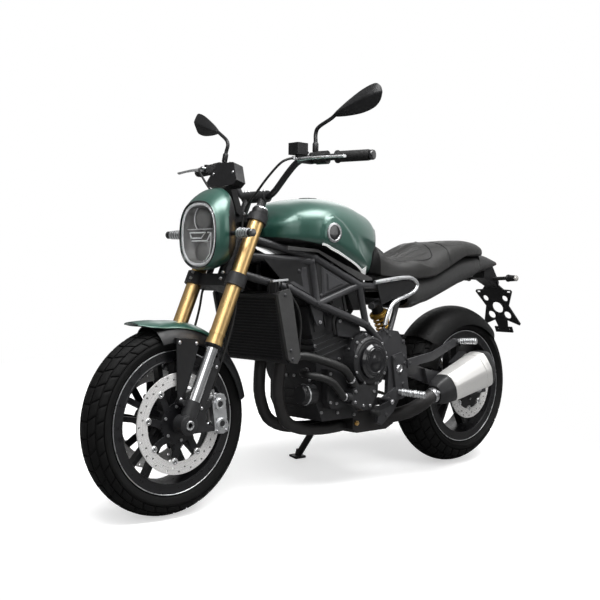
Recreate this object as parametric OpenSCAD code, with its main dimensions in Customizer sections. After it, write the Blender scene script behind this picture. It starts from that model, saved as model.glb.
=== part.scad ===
// Scrambler motorcycle with a trellis frame, standing on its side stand.
// Millimetres. X forward, Y to the silencer side, Z up.
// Sub-parts are drawn upright, over the ground point below the rear axle, and then leant.

/* [Stance] */
// Distance between the two axles
wheelbase = 1460; // [1452:2:1468]
// Lean on the side stand, in degrees
lean = 10; // [9.5:0.25:10.5]
// Rake of the steering axis, in degrees
rake = 24; // [23.75:0.25:24.25]
// Fork legs ahead of the steering axis
fork_offset = 35; // [34:0.5:36]
// Gap between seated pieces
seat_gap = 0.3; // [0.2:0.05:0.4]
// Running gap round a turning axle
axle_gap = 0.6; // [0.5:0.05:0.8]

/* [Wheels] */
// Front tyre outer radius
front_r = 300; // [298:1:302]
// Front tyre crown radius
front_crown = 62; // [60:1:63]
// Rear tyre outer radius
rear_r = 315; // [313:1:317]
// Rear tyre crown radius
rear_crown = 92; // [90:1:94]
// Rim bead seat radius
bead_r = 217; // [216:0.5:218]
// Front rim half width between the flanges
front_bead = 44; // [42:1:45]
// Rear rim half width between the flanges
rear_bead = 70; // [68:1:72]
// Height of the rim flanges
flange_h = 11; // [9:1:12]
// Pairs of spokes in each wheel
spoke_pairs = 5; // [4:1:6]
// Width of one spoke at the rim
spoke_w = 17; // [14:1:20]
// Thickness of the front spokes
front_spoke_t = 26; // [22:1:30]
// Thickness of the rear spokes
rear_spoke_t = 34; // [30:1:38]
// Wheel hub radius
hub_r = 40; // [38:1:44]
// Front axle radius
front_axle_r = 12; // [11:0.5:13]
// Bore through the front axle
axle_bore_r = 8; // [7:0.5:9]
// Rear axle radius
rear_axle_r = 12.5; // [11.5:0.5:13]

/* [Brakes] */
// Front disc radius
front_disc_r = 160; // [156:1:162]
// Front disc inner radius
front_disc_in = 120; // [116:1:122]
// Front disc plane from the middle of the wheel
front_disc_y = 70; // [69:0.5:71]
// Disc thickness
disc_t = 4.5; // [4:0.25:5]
// Rear disc radius
rear_disc_r = 130; // [126:1:132]
// Rear disc inner radius
rear_disc_in = 92; // [88:1:96]
// Rear disc plane from the middle of the wheel
rear_disc_y = 98; // [97:0.5:99]
// Holes in one row of a disc
disc_holes = 20; // [16:1:24]
// Tabs that carry a disc
disc_tabs = 8; // [6:1:10]
// Angle of the front calipers round the axle, in degrees
caliper_at = 172; // [168:1:176]

/* [Fork] */
// Fork legs from the middle plane
fork_half = 105; // [104:0.5:106]
// Outer fork tube radius
fork_tube_r = 25; // [24.5:0.5:26]
// Sliding fork tube radius
stanchion_r = 20.5; // [20:0.5:21]
// Lower end of the outer tubes above the axle, along the fork
tube_low = 266; // [260:2:272]
// Upper end of the outer tubes above the axle, along the fork
tube_top = 735; // [732:1:740]
// Underside of the lower clamp above the axle, along the fork
clamp_low = 468; // [464:1:470]
// Thickness of the lower clamp
clamp_low_t = 42; // [38:1:43]
// Underside of the upper clamp above the axle, along the fork
clamp_top = 698; // [697:1:702]
// Thickness of the upper clamp
clamp_top_t = 26; // [24:1:28]
// Steering stem radius
stem_r = 15; // [14:0.5:16]
// Head tube radius
head_r = 29; // [28:0.5:31]
// Height of the fork feet above the axle
foot_h = 76; // [72:1:80]

/* [Controls] */
// Handlebar tube radius
bar_r = 11; // [10.5:0.25:11.25]
// Handlebar half width
bar_half = 435; // [430:1:440]
// Grip radius
grip_r = 17; // [16:0.5:18]
// Grip length
grip_len = 118; // [112:1:124]
// Height of the mirror tips
mirror_top = 1352; // [1344:2:1360]
// Mirror tips from the middle plane
mirror_half = 474; // [468:1:480]

/* [Frame] */
// Frame tube radius
tube_r = 14; // [13:0.5:14.5]
// Step in tube radius where frame tubes meet
node_step = 0.8; // [0.6:0.1:1]
// Inner face of the strips below the tank
trim_y = 150; // [149.5:0.25:150.5]
// Swingarm pivot ahead of the rear axle
pivot_x = 500; // [496:1:504]
// Swingarm pivot height
pivot_z = 420; // [416:1:424]
// Inner face of the pivot plates from the middle plane
plate_y = 126; // [125:0.5:127]
// Thickness of the pivot plates
plate_t = 16; // [14:1:18]
// Swingarm pivot bolt radius
pivot_r = 10; // [9:0.5:11]

/* [Body] */
// Fuel cap radius
cap_r = 37; // [35:0.5:38]
// Height of the flat below the fuel cap
cap_z = 1026; // [1024:1:1028]
// Underside of the seat over the subframe
seat_base = 765; // [763:1:767]
// Wall of the tail fairing
tail_wall = 6; // [5:0.5:7]
// Radiator width
rad_w = 316; // [308:2:320]
// Radiator height
rad_h = 236; // [230:2:240]
// Radiator thickness
rad_t = 36; // [32:1:38]
// Side shroud thickness
shroud_t = 12; // [10:1:14]
// Header pipe radius
header_r = 21; // [20:0.5:22]
// Coolant hose radius
hose_r = 15; // [13:0.5:16]
// Number plate holder width
plate_w = 186; // [180:2:192]
// Number plate holder height
plate_h = 172; // [168:2:176]

/* [Stand] */
// Stand foot out from the middle plane
stand_foot_y = 268; // [262:1:272]
// Stand foot ahead of the rear axle
stand_foot_x = 620; // [614:1:626]
// Stand leg radius
stand_r = 13; // [12:0.5:14]
// Stand pivot bolt radius
stand_bolt_r = 7; // [6.5:0.25:7.5]

/* [Hidden] */
$fn = 64;

// Lean and origin
lift = rear_crown * (1 - cos(lean));
front_axle_z = front_r + (front_crown - rear_crown) * (1 - cos(lean)) / cos(lean);
plate_end_x = -390;
mid_x = (wheelbase + front_r + plate_end_x) / 2;
mid_y = -mirror_top * sin(lean);
// Frame points on the silencer side, mirrored for the other side
top_mid = [939, 140, 825];
top_rear = [729, 150, 732];
strut_top = [957, 140, 812];
low_front = [1040, 120, 722];
low_node = [936, 150, 668];
low_rear = [687, 150, 589];
plate_top = [600, plate_y + plate_t / 2, 530];
sub_b = [432, 94, 716];
sub_d = [-55, 40, 793];
sub_low = [548, plate_y + plate_t / 2, 540];
// Lower hose stub of the radiator
hose_a = [1050, 116, 508];
hose_b = [1018, 118, 494];
// Steering points
bar_c = head(820, 0, -10);
front_c = head(640, 0, 0);
// Outer face of the front mudguard's stays
guard_stay_y = fork_half - stanchion_r - 1;
// Wheel centres
front_hub = [wheelbase, 0, front_axle_z];
rear_hub = [0, 0, rear_r];

function unit(v) = v / norm(v);
function flip(p, side) = [p[0], p[1] * side, p[2]];
function leg(s, y = 0) = [wheelbase - s * sin(rake), y, front_axle_z + s * cos(rake)];
function head(s, y = 0, f = 0) = leg(s, y) + (f - fork_offset) * [cos(rake), 0, sin(rake)];
function ground(y) = (-lift - y * sin(lean)) / cos(lean);
// Point round the rear axle, in a plane along the machine
function rear_at(r, a) = [r * cos(a), rear_r + r * sin(a)];
function power(v, e) = sign(v) * pow(abs(v), e);
// Rounded section in a plane across X
function oval(x, hw, low, top, mid, e = 2.4, n = 28, under = 0) = [for (k = [0 : n - 1])
    let (a = 360 * k / n, q = under > 0 && k > n / 2 ? under : e, c = power(cos(a), 2 / q),
        s = power(sin(a), 2 / q))
    [x, hw * c, mid + s * (s > 0 ? top - mid : mid - low)]];
function tangents(p) = [for (i = [0 : len(p) - 1])
    unit(p[min(i + 1, len(p) - 1)] - p[max(i - 1, 0)])];
function normals(t, n, i = 0) = i == len(t) ? [] :
    let (m = unit(n - (n * t[i]) * t[i])) concat([m], normals(t, m, i + 1));
// Smooth curve through points
function curve(p, steps = 4) = concat([for (i = [0 : len(p) - 2]) for (k = [0 : steps - 1])
    let (a = p[max(i - 1, 0)], b = p[i], c = p[i + 1], d = p[min(i + 2, len(p) - 1)], t = k / steps)
    0.5 * (2 * b + (c - a) * t + (2 * a - 5 * b + 4 * c - d) * t * t + (3 * b - a - 3 * c + d) * t * t * t)],
    [p[len(p) - 1]]);

module parked() {
    translate([-mid_x, -mid_y, lift])
        rotate([lean, 0, 0])
            children();
}

module sides() {
    children();
    mirror([0, 1, 0])
        children();
}

// Steering frame: Z up along the steering axis, X ahead of it
module steer() {
    translate(head(0))
        rotate([0, -rake, 0])
            children();
}

module aim(a, b) {
    d = b - a;
    translate(a)
        rotate([0, acos(d[2] / norm(d)), atan2(d[1], d[0])])
            children();
}

module rod(a, b, r, r2 = -1) {
    aim(a, b)
        cylinder(h = norm(b - a), r1 = r, r2 = r2 < 0 ? r : r2);
}

// Bar across the machine
module cross_bar(x, z, r, y0, y1) {
    translate([x, y1, z])
        rotate([90, 0, 0])
            cylinder(h = y1 - y0, r = r);
}

// Flat piece in a plane along the machine
module slab(points, y0, y1) {
    translate([0, y1, 0])
        rotate([90, 0, 0])
            linear_extrude(height = y1 - y0)
                polygon(points);
}

module loft(rings) {
    n = len(rings[0]);
    m = len(rings);
    polyhedron(
        points = [for (r = rings) each r],
        faces = concat(
            [[for (k = [0 : n - 1]) k]],
            [for (i = [0 : m - 2]) for (k = [0 : n - 1]) for (t = [0, 1])
                let (a = i * n + k, b = i * n + (k + 1) % n)
                t == 0 ? [a, a + n, b + n] : [a, b + n, b]],
            [[for (k = [n - 1 : -1 : 0]) (m - 1) * n + k]]),
        convexity = 6);
}

module sweep(path, r, n = 12, up = [0, 0.3, 1]) {
    t = tangents(path);
    u = normals(t, up);
    loft([for (i = [0 : len(path) - 1]) [for (k = [0 : n - 1])
        path[i] + r * (cos(360 * k / n) * u[i] + sin(360 * k / n) * cross(t[i], u[i]))]]);
}

module at_wheel(hub) {
    translate(hub)
        rotate([90, 0, 0])
            children();
}

// Frame

// Tube that runs past its two end points
module tube(a, b, r, ea, eb) {
    d = unit(b - a);
    rod(a - ea * d, b + eb * d, r);
}

// Each tube is a little thinner than the one it runs into
module frame_tubes(r) {
    sides() {
        tube(head(668, 18, -6), top_mid, r, 0, 5);
        tube(top_mid, top_rear, r - node_step, 5, 10);
        tube(head(600, 18, -8), strut_top, r - node_step, 0, 8);
        tube(strut_top, low_node, r - 2 * node_step, 10, 0);
        tube(head(540, 18, -8), low_front, r, 0, 6);
        tube(low_front, low_node, r - node_step, 6, 8);
        tube(low_node, low_rear, r, 6, 8);
        tube(low_rear, plate_top, r - node_step, 6, 0);
        tube(low_node, top_rear, r - 2 * node_step, 0, 0);
        tube(top_rear, low_rear, r - 2 * node_step, 0, 0);
    }
}

module subframe_tubes(r) {
    sides() {
        tube(top_rear, sub_b, r, 0, 2);
        tube(sub_b, sub_d, r - node_step, 0, 0);
        tube(sub_low, sub_b, r - 2 * node_step, 0, 0);
    }
    tube(flip(sub_d, -1), sub_d, r + 2, 10, 10);
    tube(flip(sub_b, -1), sub_b, r + 2, 10, 10);
}

module frame() {
    color([0.16, 0.16, 0.17])
        difference() {
            union() {
                steer()
                    translate([0, 0, clamp_low + clamp_low_t + 6])
                        cylinder(h = clamp_top - clamp_low - clamp_low_t - 12, r = head_r);
                frame_tubes(tube_r);
                subframe_tubes(tube_r - 2);
                sides()
                    slab([[640, 540], [575, 570], [500, 560], [452, 500], [444, 415], [470, 330], [520, 262],
                        [585, 216], [612, 226], [600, 262], [556, 330], [552, 420], [590, 505]],
                        plate_y, plate_y + plate_t);
                sides()
                    for (p = [[860, 790], [760, 746]])
                        rod([p[0], trim_y - seat_gap - 5, p[1]], [p[0], trim_y - seat_gap - 5, p[1] + 28], 5);
                cross_bar(516, 540, tube_r, -plate_y - 2, plate_y + 2);
                cross_bar(520, 292, tube_r, -plate_y - 2, plate_y + 2);
            }
            steer()
                translate([0, 0, clamp_low])
                    cylinder(h = 300, r = stem_r + axle_gap);
            cross_bar(pivot_x, pivot_z, pivot_r + seat_gap, -200, 200);
            cross_bar(590, 240, stand_bolt_r + seat_gap, -200, -100);
        }
}

module frame_panels() {
    color([0.05, 0.05, 0.05])
        difference() {
            sides() {
                prism([strut_top, low_node, low_front, head(612, 60, -60)], 5);
                prism([top_mid, top_rear, low_node], 5);
            }
            frame_tubes(tube_r + seat_gap);
        }
}

// Flat plate through three or four frame points
module prism(p, t) {
    n = t / 2 * unit(cross(p[1] - p[0], p[2] - p[0]));
    flat = [for (q = p) q - ((q - p[0]) * unit(n)) * unit(n)];
    loft([[for (q = flat) q - n], [for (q = flat) q + n]]);
}

module tank_trims() {
    color([0.06, 0.06, 0.06])
        sides()
            slab([[1082, 850], [1082, 862], [940, 854], [820, 808], [740, 780], [690, 766], [668, 759],
                [662, 750], [690, 748], [729, 751], [940, 844]], trim_y, trim_y + 7);
}

// Body work

// x, half width, low, top, height of the widest line
tank_rows = [[560, 74, 900, 952, 925], [575, 90, 862, 963, 900], [600, 112, 806, 980, 880],
    [630, 132, 762, 995, 872], [680, 152, 768, 1010, 868], [740, 168, 786, 1027, 872],
    [811, 180, 812, 1036, 890], [880, 186, 846, 1036, 905], [950, 180, 860, 1027, 915],
    [1010, 158, 866, 1006, 920], [1040, 134, 870, 982, 922], [1060, 108, 874, 960, 921],
    [1072, 80, 879, 946, 919], [1079, 50, 886, 934, 916]];

module fuel_tank() {
    color([0.10, 0.28, 0.22])
        difference() {
            union() {
                loft([for (t = tank_rows) oval(t[0], t[1], t[2], t[3], t[4], 2.7, 32, 4.2)]);
                for (s = [-1, 1])
                    translate([1000, 128 * s, 836])
                        cylinder(h = 60, r = 11);
                for (s = [-1, 1])
                    translate([700, 132 * s, 716])
                        cylinder(h = 90, r = 11);
            }
            translate([840, 0, cap_z])
                cylinder(h = 60, r = cap_r + 3);
            frame_tubes(tube_r + seat_gap);
            subframe_tubes(tube_r - 2 + seat_gap);
        }
}

module fuel_cap() {
    color([0.12, 0.12, 0.13])
        translate([840, 0, cap_z]) {
            cylinder(h = 9, r = cap_r);
            translate([0, 0, 9])
                cylinder(h = 5, r1 = cap_r, r2 = cap_r - 5);
        }
}

// x, half width, low, top
seat_rows = [[-113, 62, 850, 872], [-100, 82, 849, 892], [-60, 96, 848, 907], [0, 108, 846, 914],
    [60, 116, 838, 912], [150, 126, 806, 904], [240, 136, 775, 898], [280, 140, 767, 894],
    [320, 142, 765, 872], [360, 140, 765, 845], [410, 134, 765, 830], [460, 124, 765, 830],
    [500, 112, 765, 846], [530, 100, 765, 872], [550, 92, 765, 878], [575, 84, 765, 846],
    [592, 76, 765, 806]];

module seat() {
    color([0.20, 0.18, 0.17])
        loft([for (t = seat_rows) oval(t[0], t[1], t[2], t[3], t[2] + 14, 3.2, 28)]);
}

// x, half width, low, top
tail_rows = [[-280, 26, 812, 832], [-200, 44, 792, 852], [-120, 58, 776, 866], [-114, 60, 774, 866],
    [-113.6, 60, 774, 849.2], [-60, 74, 758, 847.6], [0, 86, 742, 845.6], [60, 96, 728, 837.6],
    [150, 106, 700, 805.6], [240, 114, 672, 774.6], [280, 118, 660, 766.6], [320, 120, 652, 764.6],
    [360, 122, 640, 764.6], [400, 122, 640, 764.6], [412, 118, 660, 764.6]];

module tail_fairing() {
    color([0.17, 0.17, 0.18])
        difference() {
            union() {
                difference() {
                    loft([for (t = tail_rows) oval(t[0], t[1], t[2], t[3], (t[2] + t[3]) / 2, 3.6, 24)]);
                    tail_space();
                }
                sides() {
                    translate([110, 58, 764])
                        cylinder(h = 48, r = 9);
                    translate([20, 48, 778])
                        cylinder(h = 60, r = 9);
                }
            }
            subframe_tubes(tube_r - 2 + seat_gap);
        }
}

module tail_space() {
    loft(concat([oval(-98, 50, 782, 836, 809, 3.6, 24)], [for (t = tail_rows) if (t[0] > -70)
        oval(t[0] > 405 ? 430 : t[0], t[1] - tail_wall, t[2] + tail_wall, t[3] - tail_wall,
            (t[2] + t[3]) / 2, 3.6, 24)]));
}

module seat_loops() {
    color([0.72, 0.73, 0.74])
        sides()
            sweep(curve([[640, 146, 742], [560, 150, 752], [450, 146, 760], [398, 142, 742], [402, 142, 716],
                [450, 146, 694], [536, 150, 668], [572, 150, 620], [584, 149, 585]], 3), 8, 10, [0, 1, 0]);
}

module side_covers() {
    color([0.05, 0.05, 0.05])
        sides()
            slab([[628, 734], [560, 742], [450, 750], [412, 736], [414, 720], [452, 704], [542, 680],
                [600, 660]], 144.4, 148);
}

module tail_light() {
    color([0.45, 0.03, 0.03])
        loft([oval(-296, 18, 815, 829, 822, 3.6, 24), oval(-280.3, 26, 812, 832, 822, 3.6, 24)]);
}

// Half outline of the plate holder, from its top to its foot
plate_edge = [[35, plate_h / 2 + 45], [35, plate_h / 2 + 24], [56, plate_h / 2 + 2],
    [plate_w / 2 - 3, plate_h / 2], [plate_w / 2 + 2, plate_h / 2 - 8], [59, 8],
    [plate_w / 2 + 2, -plate_h / 2 + 7], [plate_w / 2 - 3, -plate_h / 2], [31, -62],
    [24, -plate_h / 2 - 11], [45, -plate_h / 2 - 11], [45, -plate_h / 2 - 38]];

module plate_holder() {
    color([0.05, 0.05, 0.05]) {
        translate([-338, 0, 631])
            rotate([0, 26.6, 0])
                rotate([90, 0, 90])
                    linear_extrude(height = 6, center = true)
                        difference() {
                            polygon(concat(plate_edge, [for (k = [len(plate_edge) - 1 : -1 : 0])
                                [-plate_edge[k][0], plate_edge[k][1]]]));
                            circle(r = 27);
                            for (s = [-1, 1]) {
                                translate([50 * s, 45])
                                    circle(r = 14);
                                translate([41 * s, -37])
                                    circle(r = 18);
                                translate([30 * s, -plate_h / 2 - 22])
                                    circle(r = 3.3);
                                translate([78 * s - 9, plate_h / 2 - 13])
                                    square([18, 9]);
                            }
                        }
        difference() {
            slab([[-250, 812], [-190, 794], [-190, 760], [-296, 716], [-300, 742]], -30, 30);
            loft([for (t = tail_rows)
                oval(t[0], t[1] + seat_gap, t[2] - seat_gap, t[3] + seat_gap, (t[2] + t[3]) / 2, 3.6, 24)]);
        }
    }
}

module rear_indicators() {
    color([0.06, 0.06, 0.06])
        sides() {
            rod([-262, 30.3, 757], [-262, 100, 760], 7);
            translate([-262, 122, 760])
                rotate([90, 0, 0])
                    scale(1)
                        cylinder(h = 46, r1 = 12, r2 = 15, center = true);
        }
}

// Engine

module engine_block() {
    color([0.13, 0.13, 0.14])
        difference() {
            union() {
                slab([[905, 320], [872, 254], [704, 254], [690, 274], [606, 274], [582, 330], [582, 470],
                    [640, 512], [905, 512]], -118, 118);
                translate([815, 0, 480])
                    rotate([0, 15, 0]) {
                        translate([-88, -117, 0])
                            cube([176, 234, 110]);
                        translate([-96, -124, 110])
                            cube([192, 248, 96]);
                        for (k = [0 : 3])
                            translate([-94, -117.5, 16 + 22 * k])
                                cube([188, 235, 8]);
                    }
                sides() {
                    cross_bar(low_node[0] - 56, low_node[2] - 18, 12, 100, 139);
                    cross_bar(566, 505, 13, 60, plate_y - seat_gap);
                    cross_bar(570, 300, 13, 100, plate_y - seat_gap);
                    translate([566, 60, 492])
                        cube([90, 57, 26]);
                    translate([560, 100, 288])
                        cube([40, 18, 26]);
                }
            }
            frame_tubes(tube_r + seat_gap);
            difference() {
                translate([540, -130, chain_front[2] - 62])
                    cube([122, 38, 124]);
                cross_bar(chain_front[0], chain_front[2], 30, -118, -80);
            }
        }
}

// Clutch cover centre, and the two hose stubs of the water pump
clutch_x = 685;
clutch_z = 461;
pump_a = [774, 166, 392];
pump_up = unit([28, 4, 32]);
pump_b = [806, 166, 340];
pump_side = unit([34, 2, 6]);

module engine_covers() {
    color([0.10, 0.10, 0.11]) {
        translate([clutch_x, 0, clutch_z])
            rotate([-90, 0, 0]) {
                translate([0, 0, 118])
                    cylinder(h = 54, r = 87);
                translate([0, 0, 172])
                    cylinder(h = 6, r1 = 87, r2 = 80);
                translate([0, 0, 178])
                    cylinder(h = 12, r = 62);
                translate([0, 0, 190])
                    cylinder(h = 8, r1 = 62, r2 = 54);
            }
        difference() {
            slab([[767, 490], [760, 524], [738, 550], [705, 562], [684, 554], [640, 526], [606, 500],
                [586, 466], [590, 420], [618, 380], [655, 366], [690, 370]], plate_y + plate_t + 1, 166);
            translate([clutch_x, 100, clutch_z])
                rotate([-90, 0, 0])
                    cylinder(h = 100, r = 84);
        }
        difference() {
            slab([[880, 330], [862, 300], [700, 300], [640, 330], [620, 372], [720, 372], [800, 420],
                [880, 440]], 118, 150);
            translate([clutch_x, 100, clutch_z])
                rotate([-90, 0, 0])
                    cylinder(h = 100, r = 84);
        }
        difference() {
            slab([[780, 366], [726, 382], [664, 364], [668, 328], [688, 291], [728, 286], [788, 314]],
                149, 180);
            translate([clutch_x, 100, clutch_z])
                rotate([-90, 0, 0])
                    cylinder(h = 100, r = 84);
        }
        rod(pump_a - 26 * pump_up, pump_a, hose_r + 2);
        rod(pump_b - 26 * pump_side, pump_b, hose_r + 1);
        cross_bar(790, 440, 92, -170, -118);
        cross_bar(790, 440, 70, -182, -170);
        slab([[720, 492], [640, 486], [604, 470], [582, 420], [596, 350], [640, 330], [720, 330]],
            -150, -118);
        rod([905, 98, 352], [958, 98, 352], 36);
        rod([958, 98, 352], [966, 98, 352], 36, 30);
        translate([815, 0, 480])
            rotate([0, 15, 0])
                translate([-84, -112, 206])
                    cube([168, 224, 34]);
    }
}

module airbox() {
    color([0.04, 0.04, 0.04])
        difference() {
            slab([[930, 840], [700, 760], [640, 740], [640, 640], [700, 640], [760, 744], [930, 764]],
                -100, 100);
            frame_tubes(tube_r + seat_gap);
        }
}

module radiator() {
    color([0.07, 0.07, 0.07])
        difference() {
            union() {
                translate([1083, 0, 590])
                    rotate([0, 11, 0])
                        cube([rad_t, rad_w, rad_h], center = true);
                sides()
                    translate([1096, 84, 690])
                        cylinder(h = 52, r = 9);
                rod(hose_a, hose_b, hose_r);
                rod([1100, 110, 700], [1108, 112, 745], 15);
            }
            frame_tubes(tube_r + seat_gap);
        }
}

module radiator_shrouds() {
    color([0.15, 0.15, 0.16])
        sides()
            slab([[1136, 700], [1128, 712], [1084, 720], [1072, 700], [1030, 490], [1044, 470], [1070, 474],
                [1086, 488]], rad_w / 2, rad_w / 2 + shroud_t);
}

module coolant_hoses() {
    d = unit(hose_b - hose_a);
    color([0.05, 0.05, 0.05]) {
        sweep(concat([hose_b + 0.4 * d], curve([hose_b + 12 * d, [968, 136, 488], [917, 154, 474],
            [866, 172, 456], [822, 176, 436], pump_a + 16 * pump_up], 3), [pump_a + 0.4 * pump_up]),
            hose_r, 12);
        sweep(concat([[905.4, 76, 428]], curve([[920, 76, 428], [944, 92, 426], [946, 128, 422],
            [918, 158, 414], [880, 172, 396], [846, 172, 366], pump_b + 14 * pump_side], 3),
            [pump_b + 0.4 * pump_side]),
            hose_r - 2, 12);
    }
}

// Exhaust

module exhaust_pipes() {
    color([0.45, 0.42, 0.38])
        union() {
            for (s = [-1, 1])
                sweep(curve([[968, 52 * s, 560], [990, 52 * s, 548], [1006, 52 * s, 510], [1014, 51 * s, 450],
                    [1020, 49 * s, 400], [1018, 48 * s, 340], [984, 46 * s, 262], [910, 44 * s, 225],
                    [800, 42 * s, 212], [690, 38 * s, 214], [640, 34 * s, 222]], 3), header_r, 16, [0, 1, 0]);
            slab([[692, 250], [660, 268], [480, 268], [456, 250], [470, 206], [510, 190], [670, 190],
                [692, 206]], -92, 96);
            sweep(concat(curve([[520, 66, 232], [470, 92, 236], [434, 140, 254], [406, 184, 286],
                silencer_a - 40 * silencer_d], 3), [silencer_a]), 27, 16, [0, 0, 1]);
        }
}

// along, half width, half height, slant
silencer_rows = [[0, 32, 34, 0], [12, 38, 44, 0], [40, 44, 52, 4], [96, 49, 60, 14], [262, 56, 72, 14],
    [270, 58, 75, 14], [300, 58, 76, 10], [330, 50, 66, 4], [344, 38, 50, 0]];
// Half of the silencer's section, from its top to its foot, in half widths and half heights
silencer_edge = [[0.18, 1], [0.52, 0.96], [0.72, 0.82], [0.88, 0.5], [1, 0.12], [0.98, -0.1], [0.86, -0.55],
    [0.7, -0.84], [0.46, -0.97], [0.16, -1]];
silencer_a = [352, 200, 318];
silencer_b = [0, 204, 417];
silencer_d = unit(silencer_b - silencer_a);

module silencer() {
    color([0.55, 0.56, 0.57]) {
        d = silencer_d;
        up = unit([0, 0, 1] - d[2] * d);
        edge = concat([for (k = [9 : -1 : 0]) silencer_edge[k]],
            [for (q = silencer_edge) [-q[0], q[1]]]);
        loft([for (t = silencer_rows) [for (q = edge)
            silencer_a + (t[0] + seat_gap - t[3] * q[1]) * d + t[1] * q[0] * cross(up, d)
                + t[2] * q[1] * up]]);
    }
}

// Rear end

module swingarm() {
    color([0.14, 0.14, 0.15])
        difference() {
            union() {
                cross_bar(pivot_x, pivot_z, 21, -plate_y + seat_gap, plate_y - seat_gap);
                sides() {
                    slab([[pivot_x + 4, pivot_z + 26], [pivot_x - 60, pivot_z + 32], [330, 412], [60, 352],
                        [-52, 342], [-58, 292], [40, 284], [300, 348], [pivot_x - 60, pivot_z - 30],
                        [pivot_x, pivot_z - 26]], 112, plate_y - seat_gap);
                    slab([[340, 410], [60, 352], [-52, 342], [-58, 292], [40, 284], [320, 352]], 112, 142);
                }
                slab([[470, 446], [372, 440], [372, 372], [470, 392]], -92, 116);
                slab([[402, 500], [440, 500], [460, 440], [400, 430]], 26, 54);
            }
            cross_bar(pivot_x, pivot_z, pivot_r + seat_gap, -200, 200);
            cross_bar(0, rear_r, rear_axle_r + seat_gap, -200, 200);
            cross_bar(424, 484, 6.3, 0, 100);
            slab([[418, 520], [446, 520], [446, 462], [402, 462], [396, 520]], 32, 48);
            sides()
                cross_bar(-36, 312, 4, 120, 200);
        }
}

module pivot_bolt() {
    color([0.5, 0.5, 0.5]) {
        cross_bar(pivot_x, pivot_z, pivot_r, -plate_y - plate_t, plate_y + plate_t);
        sides()
            cross_bar(pivot_x, pivot_z, pivot_r + 7, plate_y + plate_t, plate_y + plate_t + 8);
    }
}

module rear_axle() {
    color([0.6, 0.6, 0.6]) {
        cross_bar(0, rear_r, rear_axle_r, -142, 142);
        sides()
            cross_bar(0, rear_r, rear_axle_r + 8, 142, 152);
        cross_bar(0, rear_r, rear_axle_r + 5, 105, 112 - seat_gap);
        cross_bar(0, rear_r, rear_axle_r + 5, -112 + seat_gap, -110);
    }
}

shock_low = [424, 40, 484];
shock_high = [520, 40, 668];

module shock_body() {
    color([0.12, 0.12, 0.12])
        difference() {
            union() {
                cross_bar(shock_low[0], shock_low[2], 12, 32.3, 47.7);
                rod(shock_low, shock_high, 7.5);
                aim(shock_low, shock_high) {
                    translate([0, 0, 22])
                        cylinder(h = 8, r = 33);
                    translate([0, 0, 150])
                        cylinder(h = 10, r = 33);
                    translate([0, 0, 160])
                        cylinder(h = 36, r = 22);
                }
                cross_bar(shock_high[0], shock_high[2], 14, -70, 70);
                sides()
                    rod([shock_high[0], 60, shock_high[2]], [650, 140, 655], 12);
            }
            frame_tubes(tube_r + seat_gap);
            cross_bar(shock_low[0], shock_low[2], 6, 0, 100);
        }
}

module shock_spring() {
    turns = 6.5;
    d = unit(shock_high - shock_low);
    u = [0, 1, 0];
    v = cross(d, u);
    color([0.85, 0.62, 0.10])
        sweep([for (k = [0 : 78])
            shock_low + (35.3 + 109.4 * k / 78) * d
                + 26 * (cos(turns * 360 * k / 78) * u + sin(turns * 360 * k / 78) * v)], 5, 8, d);
}

module rear_hugger() {
    color([0.05, 0.05, 0.05]) {
        at_wheel(rear_hub)
            rotate([0, 0, 40])
                rotate_extrude(angle = 92, $fn = 96)
                    difference() {
                        translate([rear_r - rear_crown, 0])
                            circle(r = rear_crown + 14);
                        translate([rear_r - rear_crown, 0])
                            circle(r = rear_crown + 10);
                        translate([0, -200])
                            square([rear_r - 62, 400]);
                    }
        slab([[330, 420], [230, 396], rear_at(rear_r - 63, 41), rear_at(rear_r - 12, 37.6)],
            98, 112 - seat_gap);
    }
}

module rear_caliper() {
    color([0.12, 0.12, 0.12])
        difference() {
            union() {
                at_wheel(rear_hub)
                    rotate([0, 0, 58])
                        translate([84, -42, -112 + seat_gap])
                            cube([60, 84, 36]);
                slab([[20, 370], [70, 362], [96, 380], [60, 420], [30, 420]], 106, 112 - seat_gap);
            }
            at_wheel(rear_hub)
                cylinder(h = 2 * (rear_disc_y + 8), r = rear_disc_r + 6, center = true);
        }
}

// Chain line on the side away from the silencer
chain_y = -104;
chain_front = [600, chain_y, 415];
front_pitch_r = 42;
rear_pitch_r = 106;

module chain() {
    color([0.35, 0.33, 0.28])
        difference() {
            slab(chain_outline(7), chain_y - 7, chain_y + 7);
            slab(chain_outline(-6), chain_y - 8, chain_y + 8);
        }
}

// Outline round both sprockets, an even distance off the pitch line
function chain_outline(grow) =
    let (v = [chain_front[0], chain_front[2] - rear_r], tilt = atan2(v[1], v[0]),
        b = asin((rear_pitch_r - front_pitch_r) / norm(v)))
    concat(
        [for (k = [0 : 30]) let (a = tilt + 90 - b + (180 + 2 * b) * k / 30)
            [(rear_pitch_r + grow) * cos(a), rear_r + (rear_pitch_r + grow) * sin(a)]],
        [for (k = [0 : 20]) let (a = tilt - 90 + b + (180 - 2 * b) * k / 20)
            [chain_front[0] + (front_pitch_r + grow) * cos(a),
                chain_front[2] + (front_pitch_r + grow) * sin(a)]]);

module footrests() {
    color([0.66, 0.67, 0.68])
        sides() {
            difference() {
                slab([[540, 470], [482, 482], [462, 430], [446, 344], [450, 318], [484, 306], [590, 296],
                    [598, 316], [520, 352]], plate_y + plate_t, plate_y + plate_t + 9);
                cross_bar(pivot_x, pivot_z, pivot_r + 8, 100, 200);
            }
            rod([500, plate_y + plate_t + 9, 334], [470, 250, 328], 10);
            slab([[452, 452], [448, 420], [300, 440], [130, 500], [120, 520], [170, 520], [300, 474]],
                plate_y + plate_t, plate_y + plate_t + 7);
            rod([140, plate_y + plate_t + 7, 508], [120, 222, 512], 10);
        }
}

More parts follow.
